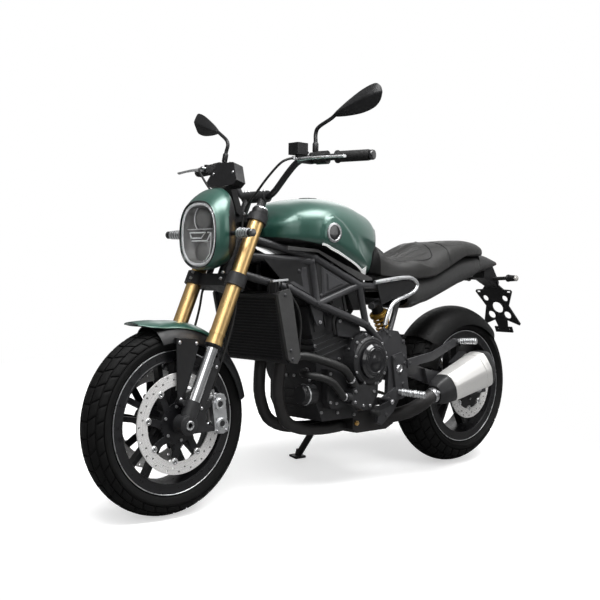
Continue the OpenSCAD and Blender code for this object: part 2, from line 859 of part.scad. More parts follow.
module pedals() {
    color([0.5, 0.5, 0.5])
        sides() {
            cross_bar(588, 306, 11, plate_y + plate_t + 9, 196);
            slab([[580, 300], [700, 272], [704, 284], [590, 318]], 188, 196);
            cross_bar(698, 279, 8, 196, 228);
        }
}

module stand_bolt() {
    color([0.5, 0.5, 0.5]) {
        cross_bar(590, 240, stand_bolt_r, -172, -plate_y);
        cross_bar(590, 240, stand_bolt_r + 5, -180, -172);
    }
}

// Steering

module clamp_body(low, h, r) {
    translate([0, 0, low]) {
        cylinder(h = h, r = head_r + 4);
        for (s = [-1, 1])
            translate([fork_offset, s * fork_half, 0])
                cylinder(h = h, r = fork_tube_r + r);
        translate([-6, -fork_half, 0])
            cube([fork_offset + 14, 2 * fork_half, h]);
    }
}

module triple_clamps() {
    color([0.08, 0.08, 0.08])
        difference() {
            union() {
                steer() {
                    clamp_body(clamp_low, clamp_low_t, 9);
                    clamp_body(clamp_top, clamp_top_t, 8);
                    translate([0, 0, clamp_low])
                        cylinder(h = clamp_top - clamp_low + 6, r = stem_r);
                    for (s = [-1, 1])
                        translate([-10, s * 40, clamp_top + clamp_top_t - 4])
                            cylinder(h = 820 - clamp_top - clamp_top_t, r = 15);
                    translate([-10, 0, 820])
                        rotate([90, 0, 0])
                            cylinder(h = 116, r = 20, center = true);
                }
            }
            steer() {
                for (s = [-1, 1])
                    translate([fork_offset, s * fork_half, clamp_low - 10])
                        cylinder(h = 300, r = fork_tube_r + seat_gap);
                translate([-10, 0, 820])
                    rotate([90, 0, 0])
                        cylinder(h = 200, r = bar_r + seat_gap, center = true);
            }
        }
}

module fork_tubes() {
    color([0.80, 0.58, 0.12])
        steer()
            sides()
                translate([fork_offset, fork_half, 0])
                    difference() {
                        union() {
                            translate([0, 0, tube_low])
                                cylinder(h = tube_top - tube_low, r = fork_tube_r);
                            translate([0, 0, tube_low])
                                cylinder(h = 16, r = fork_tube_r + 2.5);
                            translate([0, 0, tube_low + 34])
                                cylinder(h = 8, r = fork_tube_r + 1.5);
                            translate([0, 0, tube_top])
                                cylinder(h = 16, r = fork_tube_r - 4);
                        }
                        translate([0, 0, tube_low - 1])
                            cylinder(h = 70, r = stanchion_r + seat_gap);
                    }
}

module fork_stanchions() {
    color([0.75, 0.75, 0.76])
        steer()
            sides()
                translate([fork_offset, fork_half, foot_h])
                    cylinder(h = tube_low + 60 - foot_h, r = stanchion_r);
}

module fork_feet() {
    color([0.07, 0.07, 0.07])
        difference() {
            sides() {
                steer()
                    translate([fork_offset, fork_half, -18])
                        cylinder(h = foot_h + 18, r = stanchion_r + 5);
                cross_bar(wheelbase, front_axle_z, 33, 84, 126);
                steer()
                    translate([fork_offset, 0, 0])
                        slab([[-12, 34], [-12, foot_h - 8], [-24, foot_h - 3], [-24, tube_low - 40],
                            [-34, tube_low - 28], [-46, tube_low - 44], [-50, foot_h + 30], [-40, 44]],
                            fork_half - 4, fork_half + 4);
                translate([wheelbase, 96, front_axle_z])
                    rotate([90, -caliper_at, 0])
                        linear_extrude(height = 10)
                            polygon([[10, -24], [117.7, -50], [117.7, -34], [90, -20], [90, 20], [117.7, 34],
                                [117.7, 50], [40, 40], [10, 24]]);
                translate(leg(60, 83.8) + 30 * [cos(rake), 0, sin(rake)])
                    rotate([-90, 0, 0])
                        cylinder(h = 22, r = 9);
            }
            cross_bar(wheelbase, front_axle_z, front_axle_r + seat_gap, -200, 200);
        }
}

module front_axle() {
    color([0.6, 0.6, 0.6])
        difference() {
            union() {
                cross_bar(wheelbase, front_axle_z, front_axle_r, -130, 130);
                sides()
                    cross_bar(wheelbase, front_axle_z, front_axle_r + 5, 72,
                        fork_half - stanchion_r - 5 - seat_gap);
            }
            cross_bar(wheelbase, front_axle_z, axle_bore_r, -200, 200);
        }
}

module front_calipers() {
    color([0.70, 0.71, 0.72])
        sides()
            difference() {
                translate([wheelbase, 99, front_axle_z])
                    rotate([90, -caliper_at, 0])
                        difference() {
                            union() {
                                linear_extrude(height = 58)
                                    polygon([[118, -48], [124, -60], [150, -66], [168, -60], [175, -44],
                                        [171, -24], [171, 24], [175, 44], [168, 60], [150, 66],
                                        [124, 60], [118, 48]]);
                                for (y = [-32, 32])
                                    translate([146, y, -5])
                                        cylinder(h = 6, r = 19);
                            }
                            translate([156, -20, 12])
                                cube([40, 40, 34]);
                            for (y = [-32, 32])
                                translate([146, y, -6])
                                    cylinder(h = 4, r = 11);
                        }
                translate([wheelbase, 0, front_axle_z])
                    rotate([90, 0, 0])
                        translate([0, 0, -front_disc_y - disc_t - 5])
                            cylinder(h = disc_t + 15, r = front_disc_r + 6);
            }
}

module front_mudguard() {
    color([0.05, 0.05, 0.05])
        difference() {
            union() {
                at_wheel(front_hub)
                    rotate([0, 0, 76])
                        rotate_extrude(angle = 92, $fn = 96)
                            difference() {
                                translate([front_r - front_crown, 0])
                                    circle(r = front_crown + 13);
                                translate([front_r - front_crown, 0])
                                    circle(r = front_crown + 9);
                                translate([0, -100])
                                    square([front_r - 46, 200]);
                            }
                sides()
                    translate(front_hub) {
                        slab([[18, front_r - 32], [-68, front_r - 38], [-66, front_r - 54],
                            [18, front_r - 50]], guard_stay_y - 15.5, guard_stay_y);
                        slab([[20, front_r - 34], [-72, front_r - 44], [-28, 120.5], [-8, 76.5], [-3, 56.5],
                            [14, 60.5]], guard_stay_y - 4, guard_stay_y);
                    }
            }
            at_wheel(front_hub)
                rotate_extrude($fn = 96)
                    translate([front_r - front_crown, 0])
                        circle(r = front_crown + 8.9);
        }
}

// angle round the axle, lift over the black guard, half angle across
cap_rows = [[128, 2.3, 34], [116, 2.3, 40], [104, 2.3, 42], [92, 2.3, 42], [84, 5, 42], [78, 12, 40],
    [72, 20, 34], [67, 28, 22]];

module mudguard_cap() {
    color([0.10, 0.28, 0.22])
        translate(front_hub)
            loft([for (t = cap_rows) [for (k = [0 : 17])
                let (outer = k < 9, a = t[2] * (outer ? 1 - k / 4 : (k - 13) / 4),
                    q = front_crown + 13 + t[1] + (outer ? 4 : 0), r = front_r - front_crown + q * cos(a))
                [r * cos(t[0]), q * sin(a), r * sin(t[0])]]]);
}

// x, half width, low, top, from the steering reference
shell_rows = [[58, 56, -34, 120], [82, 90, -70, 174], [112, 106, -84, 176], [140, 110, -91, 160],
    [158, 104, -90, 144], [167, 97, -85, 134]];
lens_half = 92;
lens_low = -80;
lens_top = 130;

function shell_ring(t, g = 0) =
    oval(front_c[0] + t[0], t[1] + g, front_c[2] + t[2] - g, front_c[2] + t[3] + g, front_c[2] + 24, 2.5, 32);
function lens_ring(x, g) = oval(front_c[0] + x, lens_half - g, front_c[2] + lens_low + g,
    front_c[2] + lens_top - g, front_c[2] + (lens_low + lens_top) / 2, 2.5, 32);

module headlight_shell() {
    color([0.10, 0.28, 0.22])
        difference() {
            union() {
                loft([for (t = shell_rows) shell_ring(t)]);
                steer()
                    for (s = [-1, 1])
                        translate([fork_offset + 8, s * 30, clamp_low + clamp_low_t + seat_gap])
                            cylinder(h = 50, r = 9);
            }
            loft([for (x = [148, 180]) lens_ring(x, 0)]);
        }
}

module headlight_lens() {
    color([0.55, 0.58, 0.60])
        loft([for (t = [[148.3, 0], [166, 0], [172, 6]]) lens_ring(t[0], t[1] + seat_gap)]);
}

module instrument() {
    color([0.04, 0.04, 0.04]) {
        translate(front_c + [47, 0, 222])
            rotate([0, -15, 0])
                rotate([90, 0, 90])
                    linear_extrude(height = 40, center = true)
                        polygon([[-62, -40], [62, -40], [78, -24], [46, 36], [40, 40], [-40, 40], [-46, 36],
                            [-78, -24]]);
        difference() {
            translate([front_c[0], 0, front_c[2]])
                slab([[-20, 70], [12, 84], [54, 200], [30, 200]], -18, 18);
            steer()
                translate([-100, -100, clamp_top - 60])
                    cube([300, 200, 60 + clamp_top_t + seat_gap]);
        }
    }
}

bar_path = [[0, 60, 0], [0, 66, 0.6], [-4, 92, 18], [-14, 140, 72], [-22, 176, 106], [-30, 205, 117],
    [-35.2, 225, 118.4]];
grip_out = bar_c + [-95, bar_half, 119];
grip_in = bar_c + [-35.2, 225, 118.4] + 78 * unit([-59.8, bar_half - 225, 0.6]);

module handlebar() {
    color([0.07, 0.07, 0.07])
        sides()
            sweep(concat([bar_c], [for (p = curve(bar_path, 3)) bar_c + p], [grip_out]),
                bar_r, 14, [1, 0, 0]);
}

// Lines from the bar to the lower clamp, and from there to the calipers
line_r = 4;
line_foot = [head(clamp_low + clamp_low_t, 62, 30), head(clamp_low, 90, 3)];
line_up = [-sin(rake), 0, cos(rake)];
perch = bar_c + [36, 235, 111];

// Point on a front caliper, from its distance out from the axle and along its length
function caliper_point(a, b, y) =
    front_hub + [a * cos(caliper_at) - b * sin(caliper_at), y, a * sin(caliper_at) + b * cos(caliper_at)];

module brake_lines() {
    seat = caliper_point(137, -63, 87);
    out = unit(caliper_point(131, -89, 87) - seat);
    g = seat_gap;
    color([0.04, 0.04, 0.04])
        sides() {
            sweep(concat([perch + [g, 0, 0]], curve([perch + [16, 0, 0], perch + [44, -22, -14],
                perch + [56, -70, -56], perch + [60, -124, -106], perch + [66, -166, -152],
                front_c + [26, 58, 70], front_c + [38, 58, 0], line_foot[0] + 60 * line_up + [4, 0, 0],
                line_foot[0] + 16 * line_up], 3), [line_foot[0] + g * line_up]), line_r, 6);
            sweep(concat([line_foot[1] - g * line_up], curve([line_foot[1] - 14 * line_up, head(400, 94, -12),
                head(320, 96, -22), head(240, 96, -24), head(160, 94, -26), seat + 16 * out], 3),
                [seat + g * out]), line_r, 6, [0, 1, 0]);
        }
}

module grips() {
    color([0.04, 0.04, 0.04])
        sides() {
            difference() {
                rod(grip_out - grip_len * unit(grip_out - grip_in), grip_out, grip_r);
                rod(grip_in, grip_out + (grip_out - grip_in), bar_r + seat_gap);
            }
            rod(grip_out + seat_gap * unit(grip_out - grip_in), grip_out + 14 * unit(grip_out - grip_in), 15);
        }
}

// out from the middle plane, ahead of the bar, half width
lever_rows = [[242.3, 34, 10], [262, 40, 9], [300, 44, 7], [360, 30, 6], [410, 14, 6], [424, 10, 7]];

module levers() {
    color([0.70, 0.71, 0.72])
        sides()
            loft([for (t = lever_rows) [for (k = [0 : 7])
                bar_c + [t[1] + 1.3 * t[2] * cos(45 * k), t[0], 107 - 0.7 * t[2] * sin(45 * k)]]]);
}

module switchgear() {
    d = unit(grip_out - grip_in);
    color([0.05, 0.05, 0.05]) {
        difference() {
            sides() {
                rod(grip_in - 52 * d, grip_in - 12 * d, 22);
                rod(grip_in - 74 * d, grip_in - 56 * d, 19);
                translate(bar_c + [-34, 229, 98])
                    cube([70, 13, 26]);
                rod(bar_c + [-50, 234, 120], bar_c + [-50, 234, 139.2], 9);
            }
            sides()
                rod(grip_in - 100 * d, grip_in + 10 * d, bar_r + seat_gap);
        }
        translate(bar_c + [-2, 205, 124.3])
            cube([46, 44, 38]);
    }
}

// along the mirror head, half height, half thickness
mirror_rows = [[0, 6, 6], [0.06, 12, 9], [0.3, 26, 14], [0.6, 38, 15], [0.85, 38, 13], [0.96, 24, 9],
    [1, 8, 4]];

module mirrors() {
    foot = bar_c + [-50, 234, 140.6];
    elbow = bar_c + [-59, 226, 210];
    inner = bar_c + [-73, 300, 258];
    tip = [bar_c[0] - 102, mirror_half, mirror_top - 8];
    color([0.05, 0.05, 0.05])
        sides() {
            rod(foot, elbow, 7);
            rod(elbow, inner + [0, 14, 8], 6);
            translate(elbow)
                sphere(r = 9);
            loft([for (t = mirror_rows) [for (k = [0 : 15])
                inner + t[0] * (tip - inner) + [t[2] * cos(22.5 * k), 0, -t[1] * sin(22.5 * k)]]]);
        }
}

module front_indicators() {
    color([0.06, 0.06, 0.06])
        sides()
            difference() {
                union() {
                    rod(front_c + [110, 96, 28], front_c + [120, 180, 28], 7);
                    rod(front_c + [118, 166, 28], front_c + [124, 221, 28], 15, 12);
                }
                loft([for (t = shell_rows) shell_ring(t, seat_gap)]);
            }
}

// Wheels

module tyre(r, crown, bead, hw) {
    rotate_extrude($fn = 96)
        intersection() {
            translate([r - crown, 0])
                circle(r = crown, $fn = 96);
            polygon([[bead_r, -bead], [bead_r + 14, -bead], [r - crown + 16, -hw], [r + 5, -hw], [r + 5, hw],
                [r - crown + 16, hw], [bead_r + 14, bead], [bead_r, bead]]);
        }
}

module rim(bead, t, hub_half, bore) {
    g = seat_gap;
    difference() {
        union() {
            rotate_extrude($fn = 96)
                polygon([[bead_r - 24, -bead - 5], [bead_r + flange_h, -bead - 5],
                    [bead_r + flange_h, -bead - g], [bead_r - g, -bead - g], [bead_r - g, bead + g],
                    [bead_r + flange_h, bead + g],
                    [bead_r + flange_h, bead + 5], [bead_r - 24, bead + 5], [bead_r - 32, 14],
                    [bead_r - 32, -14]]);
            cylinder(h = 2 * hub_half, r = hub_r, center = true);
            for (k = [0 : spoke_pairs - 1])
                rotate([0, 0, 360 * k / spoke_pairs + 18])
                    for (s = [-1, 1])
                        linear_extrude(height = t, center = true)
                            polygon([[hub_r - 12, s * 2], [hub_r - 12, s * 19],
                                [bead_r - 26, s * (26 + spoke_w)], [bead_r - 26, s * 26]]);
        }
        cylinder(h = 400, r = bore, center = true);
    }
}

module front_tyre() {
    color([0.05, 0.05, 0.05])
        at_wheel(front_hub)
            tyre(front_r, front_crown, front_bead, 60);
}

module front_rim() {
    color([0.06, 0.06, 0.06])
        at_wheel(front_hub) {
            rim(front_bead, front_spoke_t, front_disc_y, front_axle_r + axle_gap);
            for (s = [-1, 1])
                translate([0, 0, s * (front_disc_y - 2.5)])
                    linear_extrude(height = 5, center = true)
                        difference() {
                            union() {
                                circle(r = 66);
                                for (k = [0 : disc_tabs - 1])
                                    rotate(360 * k / disc_tabs)
                                        polygon([[50, -22], [50, 8], [84, 20], [front_disc_in + 2, 28],
                                            [front_disc_in + 4, 6], [84, -4]]);
                            }
                            circle(r = hub_r - 2);
                        }
        }
}

// Brake disc with round tabs on its inner edge and two rows of holes
module disc(r, r_in, tabs, at) {
    linear_extrude(height = disc_t)
        difference() {
            circle(r = r);
            difference() {
                circle(r = r_in);
                for (k = [0 : tabs - 1])
                    rotate(at + 360 * k / tabs)
                        translate([r_in, 0])
                            circle(r = 12);
            }
            for (k = [0 : tabs - 1])
                rotate(at + 360 * k / tabs)
                    translate([r_in - 1, 0])
                        circle(r = 4);
            for (k = [0 : disc_holes - 1])
                for (j = [0, 1])
                    rotate(360 * (k + j / 2) / disc_holes)
                        translate([r - 9 - 11 * j, 0])
                            circle(r = 3.5, $fn = 24);
        }
}

module front_discs() {
    color([0.62, 0.63, 0.64])
        at_wheel(front_hub) {
            translate([0, 0, front_disc_y])
                disc(front_disc_r, front_disc_in, disc_tabs, 8.1);
            translate([0, 0, -front_disc_y - disc_t])
                disc(front_disc_r, front_disc_in, disc_tabs, 8.1);
        }
}

module rear_tyre() {
    color([0.05, 0.05, 0.05])
        at_wheel(rear_hub)
            tyre(rear_r, rear_crown, rear_bead, 89);
}

module rear_rim() {
    color([0.06, 0.06, 0.06])
        at_wheel(rear_hub)
            difference() {
                union() {
                    rim(rear_bead, rear_spoke_t, rear_disc_y, rear_axle_r + axle_gap);
                    translate([0, 0, -rear_disc_y])
                        cylinder(h = 6, r = rear_disc_in + 8);
                    translate([0, 0, rear_disc_y - 6])
                        cylinder(h = 6, r = 80);
                }
                cylinder(h = 400, r = rear_axle_r + axle_gap, center = true);
            }
}

module rear_disc() {
    color([0.62, 0.63, 0.64])
        at_wheel(rear_hub)
            translate([0, 0, -rear_disc_y - disc_t])
                disc(rear_disc_r, rear_disc_in, disc_tabs, 0);
}

module rear_sprocket() {
    color([0.30, 0.30, 0.31])
        at_wheel(rear_hub)
            translate([0, 0, rear_disc_y])
                difference() {
                    cylinder(h = 7, r = rear_pitch_r - 9);
                    translate([0, 0, -1])
                        cylinder(h = 10, r = rear_axle_r + 12);
                    for (k = [0 : 5])
                        rotate([0, 0, 60 * k])
                            translate([62, 0, -1])
                                cylinder(h = 10, r = 13);
                }
}

module side_stand() {
    foot = [stand_foot_x, -stand_foot_y, ground(-stand_foot_y)];
    color([0.07, 0.07, 0.07])
        difference() {
            union() {
                cross_bar(590, 240, 17, -170, -plate_y - plate_t - 1);
                rod([596, -154, 226], foot + [-3, 6, 14], stand_r);
                translate(foot)
                    rotate([-lean, 0, 0])
                        translate([-24, -18, 0])
                            cube([54, 40, 8]);
                rod(foot + [-4, 6, 30], foot + [0, 2, 3], stand_r);
            }
            cross_bar(590, 240, stand_bolt_r + axle_gap, -200, -100);
            translate(foot)
                rotate([-lean, 0, 0])
                    translate([-100, -100, -60])
                        cube([200, 200, 60]);
        }
}

parked() frame();
parked() frame_panels();
parked() tank_trims();
parked() fuel_tank();
parked() fuel_cap();
parked() seat();
parked() tail_fairing();
parked() seat_loops();
parked() side_covers();
parked() tail_light();
parked() plate_holder();
parked() rear_indicators();
parked() engine_block();
parked() engine_covers();
parked() airbox();
parked() radiator();
parked() radiator_shrouds();
parked() coolant_hoses();
parked() exhaust_pipes();
parked() silencer();
parked() swingarm();
parked() pivot_bolt();
parked() rear_axle();
parked() shock_body();
parked() shock_spring();
parked() rear_hugger();
parked() rear_caliper();
parked() chain();
parked() footrests();
parked() pedals();
parked() stand_bolt();
parked() triple_clamps();
parked() fork_tubes();
parked() fork_stanchions();
parked() fork_feet();
parked() front_axle();
parked() front_calipers();
parked() front_mudguard();
parked() mudguard_cap();
parked() headlight_shell();
parked() headlight_lens();
parked() instrument();
parked() handlebar();
parked() brake_lines();
parked() grips();
parked() levers();
parked() switchgear();
parked() mirrors();
parked() front_indicators();
parked() front_tyre();
parked() front_rim();
parked() front_discs();
parked() rear_tyre();
parked() rear_rim();
parked() rear_disc();
parked() rear_sprocket();
parked() side_stand();
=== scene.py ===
from functools import partial
from math import asin, atan2, cos, degrees, hypot, pi, radians, sin

import bmesh
import bpy
import numpy as np
from mathutils import Matrix, Vector


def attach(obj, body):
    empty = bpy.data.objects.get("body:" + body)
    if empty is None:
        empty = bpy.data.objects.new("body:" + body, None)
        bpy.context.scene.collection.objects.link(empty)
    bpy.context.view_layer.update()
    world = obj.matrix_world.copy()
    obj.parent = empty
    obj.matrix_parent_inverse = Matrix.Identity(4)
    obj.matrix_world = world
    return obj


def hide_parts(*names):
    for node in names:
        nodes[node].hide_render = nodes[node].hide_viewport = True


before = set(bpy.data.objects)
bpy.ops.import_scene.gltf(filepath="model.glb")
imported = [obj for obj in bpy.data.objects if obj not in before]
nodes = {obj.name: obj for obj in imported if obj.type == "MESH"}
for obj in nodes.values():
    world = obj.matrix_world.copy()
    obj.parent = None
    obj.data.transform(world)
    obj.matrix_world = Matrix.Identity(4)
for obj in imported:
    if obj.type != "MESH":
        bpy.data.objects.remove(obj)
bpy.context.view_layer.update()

# Shapes are written in the upright machine's millimetres, over the ground point below the rear axle,
# and leant onto the side stand as the solids are.
LEAN = radians(10)
COS, SIN = cos(LEAN), sin(LEAN)
MID = np.array([685.0, -1352 * SIN, -92 * (1 - COS)])
RAKE = radians(24)
UP = np.array([-sin(RAKE), 0, cos(RAKE)])
AHEAD = np.array([cos(RAKE), 0, sin(RAKE)])
FRONT_HUB = np.array([1460.0, 0, 300 - 30 * (1 - COS) / COS])
REAR_HUB = np.array([0.0, 0, 315.0])
Y = np.array([0.0, 1, 0])


def turn(v):
    v = np.atleast_2d(np.asarray(v, float))
    return np.c_[v[:, 0], v[:, 1] * COS - v[:, 2] * SIN, v[:, 1] * SIN + v[:, 2] * COS]


def place(p):
    return (turn(p) - MID) / 1000


def unplace(p):
    q = np.atleast_2d(p) * 1000 + MID
    return np.c_[q[:, 0], q[:, 1] * COS + q[:, 2] * SIN, q[:, 2] * COS - q[:, 1] * SIN]


def leg(s, y=0.0, f=0.0):
    """A point s up the fork from the front axle and f ahead of the legs."""
    return FRONT_HUB + s * UP + f * AHEAD + y * Y


def head(s, y=0.0, f=0.0):
    """The same from the steering axis."""
    return leg(s, y, f - 35)


def unit(v):
    v = np.asarray(v, float)
    return v / np.linalg.norm(v)


def flip(p):
    return np.asarray(p, float) * [1, -1, 1]


# Mesh helpers


class Shape:
    """Vertices and faces gathered for one object."""

    def __init__(self):
        self.v, self.f, self.n = [], [], 0

    def add(self, made):
        v, f = made
        v = np.asarray(v, float).reshape(-1, 3)
        self.v.append(v)
        self.f += [[i + self.n for i in q] for q in f]
        self.n += len(v)
        return self

    def both(self, made):
        """The piece and its mirror image."""
        v, f = made
        self.add(made)
        return self.add((flip(np.asarray(v, float).reshape(-1, 3)), [q[::-1] for q in f]))


def grid(p, wrap=True, caps=(True, True)):
    """Faces over rows of points. A wrapped row closes on itself, and its end rows may be capped."""
    p = np.asarray(p, float)
    m, n = p.shape[:2]
    f = []
    for i in range(m - 1):
        for k in range(n if wrap else n - 1):
            a, b = i * n + k, i * n + (k + 1) % n
            f.append([a, b, b + n, a + n])
    if wrap and caps[0]:
        f.append(list(range(n))[::-1])
    if wrap and caps[1]:
        f.append([(m - 1) * n + k for k in range(n)])
    return p.reshape(-1, 3), f


def spline(p, steps=6):
    """A smooth curve through the points."""
    p = np.asarray(p, float)
    q = np.vstack([2 * p[0] - p[1], p, 2 * p[-1] - p[-2]])
    out = []
    for i in range(1, len(q) - 2):
        a, b, c, d = q[i - 1 : i + 3]
        for t in np.linspace(0, 1, steps, endpoint=False):
            out.append(0.5 * (2 * b + (c - a) * t + (2 * a - 5 * b + 4 * c - d) * t * t
                              + (3 * b - a - 3 * c + d) * t**3))
    return np.array(out + [p[-1]])


def tube(path, r, n=12, start=(0, 0.3, 1)):
    """A round bar along a path. The start direction sets where its rings begin."""
    path = np.asarray(path, float)
    r = np.broadcast_to(np.asarray(r, float), len(path))
    t = np.gradient(path, axis=0)
    t /= np.linalg.norm(t, axis=1)[:, None]
    u = np.asarray(start, float)
    rings = []
    a = 2 * np.pi * np.arange(n) / n
    for i in range(len(path)):
        u = unit(u - (u @ t[i]) * t[i])
        w = np.cross(t[i], u)
        rings.append(path[i] + r[i] * (np.outer(np.cos(a), u) + np.outer(np.sin(a), w)))
    return grid(rings)


def lathe(origin, axis, profile, n=48, start=(0.31, 0.17, 0.93)):
    """Turns a profile, whose points are (radius, height along the axis)."""
    axis = unit(axis)
    u = unit(np.asarray(start, float) - (np.asarray(start) @ axis) * axis)
    w = np.cross(axis, u)
    a = np.radians(np.linspace(0, 360, n, endpoint=False))
    ring = np.outer(np.cos(a), u) + np.outer(np.sin(a), w)
    return grid([np.asarray(origin) + r * ring + h * axis for r, h in profile], caps=(False, False))


def plate(outline, y0, y1, at=(0, 0, 0), axes=((1, 0, 0), (0, 0, 1), (0, 1, 0))):
    """A flat outline in x and z, extruded across the machine, or along axes[2]."""
    o = np.asarray(outline, float)
    ex, ey, ez = (np.asarray(e, float) for e in axes)
    flat = np.asarray(at, float) + np.outer(o[:, 0], ex) + np.outer(o[:, 1], ey)
    n = len(o)
    v = np.vstack([flat + y0 * ez, flat + y1 * ez])
    f = [list(range(n))[::-1], [n + k for k in range(n)]]
    f += [[k, (k + 1) % n, n + (k + 1) % n, n + k] for k in range(n)]
    return v, f


def block(centre, ex, ey, ez):
    """A box from its centre and three half edges."""
    c, ex, ey, ez = (np.asarray(e, float) for e in (centre, ex, ey, ez))
    v = [c + i * ex + j * ey + k * ez for k in (-1, 1) for i, j in ((-1, -1), (1, -1), (1, 1), (-1, 1))]
    return v, [[3, 2, 1, 0], [4, 5, 6, 7], [0, 1, 5, 4], [1, 2, 6, 5], [2, 3, 7, 6], [3, 0, 4, 7]]


def bolt(at, axis, r=5.0, h=4.0, kind="cap"):
    """A screw head on a surface: a socket cap, a hexagon with a flange, or a domed button."""
    s = Shape()
    if kind == "hex":
        s.add(lathe(at, axis, [(0, -0.5), (r * 1.3, -0.5), (r * 1.3, 0.25 * h), (r * 1.05, 0.4 * h),
                               (0, 0.4 * h)], 24))
        s.add(lathe(at, axis, [(0, 0.3 * h), (r, 0.3 * h), (r, 0.85 * h), (0.85 * r, h), (0, h)], 6))
    elif kind == "dome":
        s.add(lathe(at, axis, [(0, -0.5), (r, -0.5), (r, 0.25 * h), (0.9 * r, 0.6 * h), (0.6 * r, 0.9 * h),
                               (0, h)], 24))
    else:
        s.add(lathe(at, axis, [(0, -0.5), (r, -0.5), (r, 0.8 * h), (0.88 * r, h), (0.6 * r, h)], 24))
        s.add(lathe(at, axis, [(0.62 * r, h), (0.55 * r, h), (0.55 * r, 0.35 * h), (0, 0.35 * h)], 6))
    return np.vstack(s.v), s.f


def make(name, shape, mat, body, replaces=(), angle=38, bevel=0.0):
    """One object of the looks, on the body it rides with and in place of the nodes it replaces."""
    if isinstance(shape, tuple):
        shape = Shape().add(shape)
    me = bpy.data.meshes.new(name)
    me.from_pydata(place(np.vstack(shape.v)).tolist(), [], shape.f)
    bm = bmesh.new()
    bm.from_mesh(me)
    bmesh.ops.remove_doubles(bm, verts=bm.verts, dist=2e-6)
    bmesh.ops.dissolve_degenerate(bm, edges=bm.edges, dist=1e-6)
    bmesh.ops.recalc_face_normals(bm, faces=bm.faces)
    bm.to_mesh(me)
    bm.free()
    me.polygons.foreach_set("use_smooth", [True] * len(me.polygons))
    me.set_sharp_from_angle(angle=radians(angle))
    o = bpy.data.objects.new(name, me)
    bpy.context.scene.collection.objects.link(o)
    if bevel:
        b = o.modifiers.new("bevel", "BEVEL")
        b.width, b.segments, b.limit_method, b.angle_limit = bevel / 1000, 2, "ANGLE", radians(40)
        b.harden_normals = True
    me.materials.append(mat)
    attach(o, body)
    if replaces:
        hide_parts(*replaces)
    return o


# Materials


def shader(nt, kind, **settings):
    """A new shader node with its settings."""
    node = nt.nodes.new("ShaderNode" + kind)
    for key, value in settings.items():
        setattr(node, key, value)
    return node


def tools(tree):
    """The makers of nodes and of links in a node tree."""
    def link(a, out, b, into):
        tree.links.new(a.outputs[out], b.inputs[into])
    return partial(shader, tree), link


def put(node, values):
    """Values of a node's inputs."""
    for key, value in values.items():
        node.inputs[key].default_value = value


def material(name, color, rough=0.5, metal=0.0, vary=0.2, scale=60.0, rough_vary=0.12, spec=0.5, edge=0.0,
             grain=None, cells=None, coat=(0.0, 0.1), stretch=(1, 1, 1), rings=None, transmission=0.0,
             painted_glow=0.0, sheen=0.0):
    """A surface whose colour, gloss and relief vary in the piece's own space.

    Grain and cells are the strength and scale of a relief, coat is the weight and roughness of a clear
    layer, edge rounds corners by so many mm, and rings turn the pattern about a point and an axis.
    """
    m = bpy.data.materials.new(name)
    m.use_nodes = True
    b = m.node_tree.nodes["Principled BSDF"]
    new, link = tools(m.node_tree)
    put(b, {"Metallic": metal, "Specular IOR Level": spec, "Coat Weight": coat[0],
            "Coat Roughness": coat[1], "Transmission Weight": transmission, "Sheen Weight": sheen})
    # A glow here is painted brightness on parts that give no light.
    if painted_glow:
        put(b, {"Emission Color": (*color, 1), "Emission Strength": painted_glow})
    coord, size, tone = new("TexCoord"), new("Mapping"), new("TexNoise")
    put(size, {"Scale": stretch})
    put(tone, {"Scale": scale, "Detail": 5})
    link(coord, "Object", size, "Vector")
    where = (size, "Vector") if rings is None else (coord, "Object")
    if rings is None:
        link(*where, tone, "Vector")
    else:
        off, across, far = (new("VectorMath", operation=k) for k in ("SUBTRACT", "CROSS_PRODUCT", "LENGTH"))
        put(off, {1: place(rings[0])[0]})
        put(across, {1: turn(rings[1])[0]})
        link(*where, off, 0)
        link(off, "Vector", across, 0)
        link(across, "Vector", far, 0)
        tone.noise_dimensions = "1D"
        link(far, "Value", tone, "W")
    ramp = new("ValToRGB")
    for stop, at, k in zip(ramp.color_ramp.elements, (0.3, 0.7), (1 - vary * 0.6, 1 + vary)):
        stop.position = at
        stop.color = (*[min(1, c * k) for c in color], 1)
    link(tone, "Fac", ramp, "Fac")
    link(ramp, "Color", b, "Base Color")
    gloss = new("MapRange")
    put(gloss, {"From Min": 0.25, "From Max": 0.75, "To Min": max(0.02, rough - rough_vary),
                "To Max": min(1, rough + rough_vary)})
    link(tone, "Fac", gloss, "Value")
    link(gloss, "Result", b, "Roughness")
    normal = None
    if edge:
        bev = new("Bevel", samples=4)
        put(bev, {"Radius": edge / 1000})
        normal = (bev, "Normal")
    if grain or cells:
        bump = new("Bump")
        strength, relief = grain or cells
        put(bump, {"Distance": 0.001, "Strength": strength})
        tex = new("TexVoronoi" if cells else "TexNoise")
        put(tex, {"Scale": relief} if cells else {"Scale": relief, "Detail": 3})
        link(*((coord, "Object") if cells else where), tex, "Vector")
        link(tex, "Distance" if cells else "Fac", bump, "Height")
        if normal:
            link(*normal, bump, "Normal")
        normal = (bump, "Normal")
    if normal:
        link(*normal, b, "Normal")
    return m


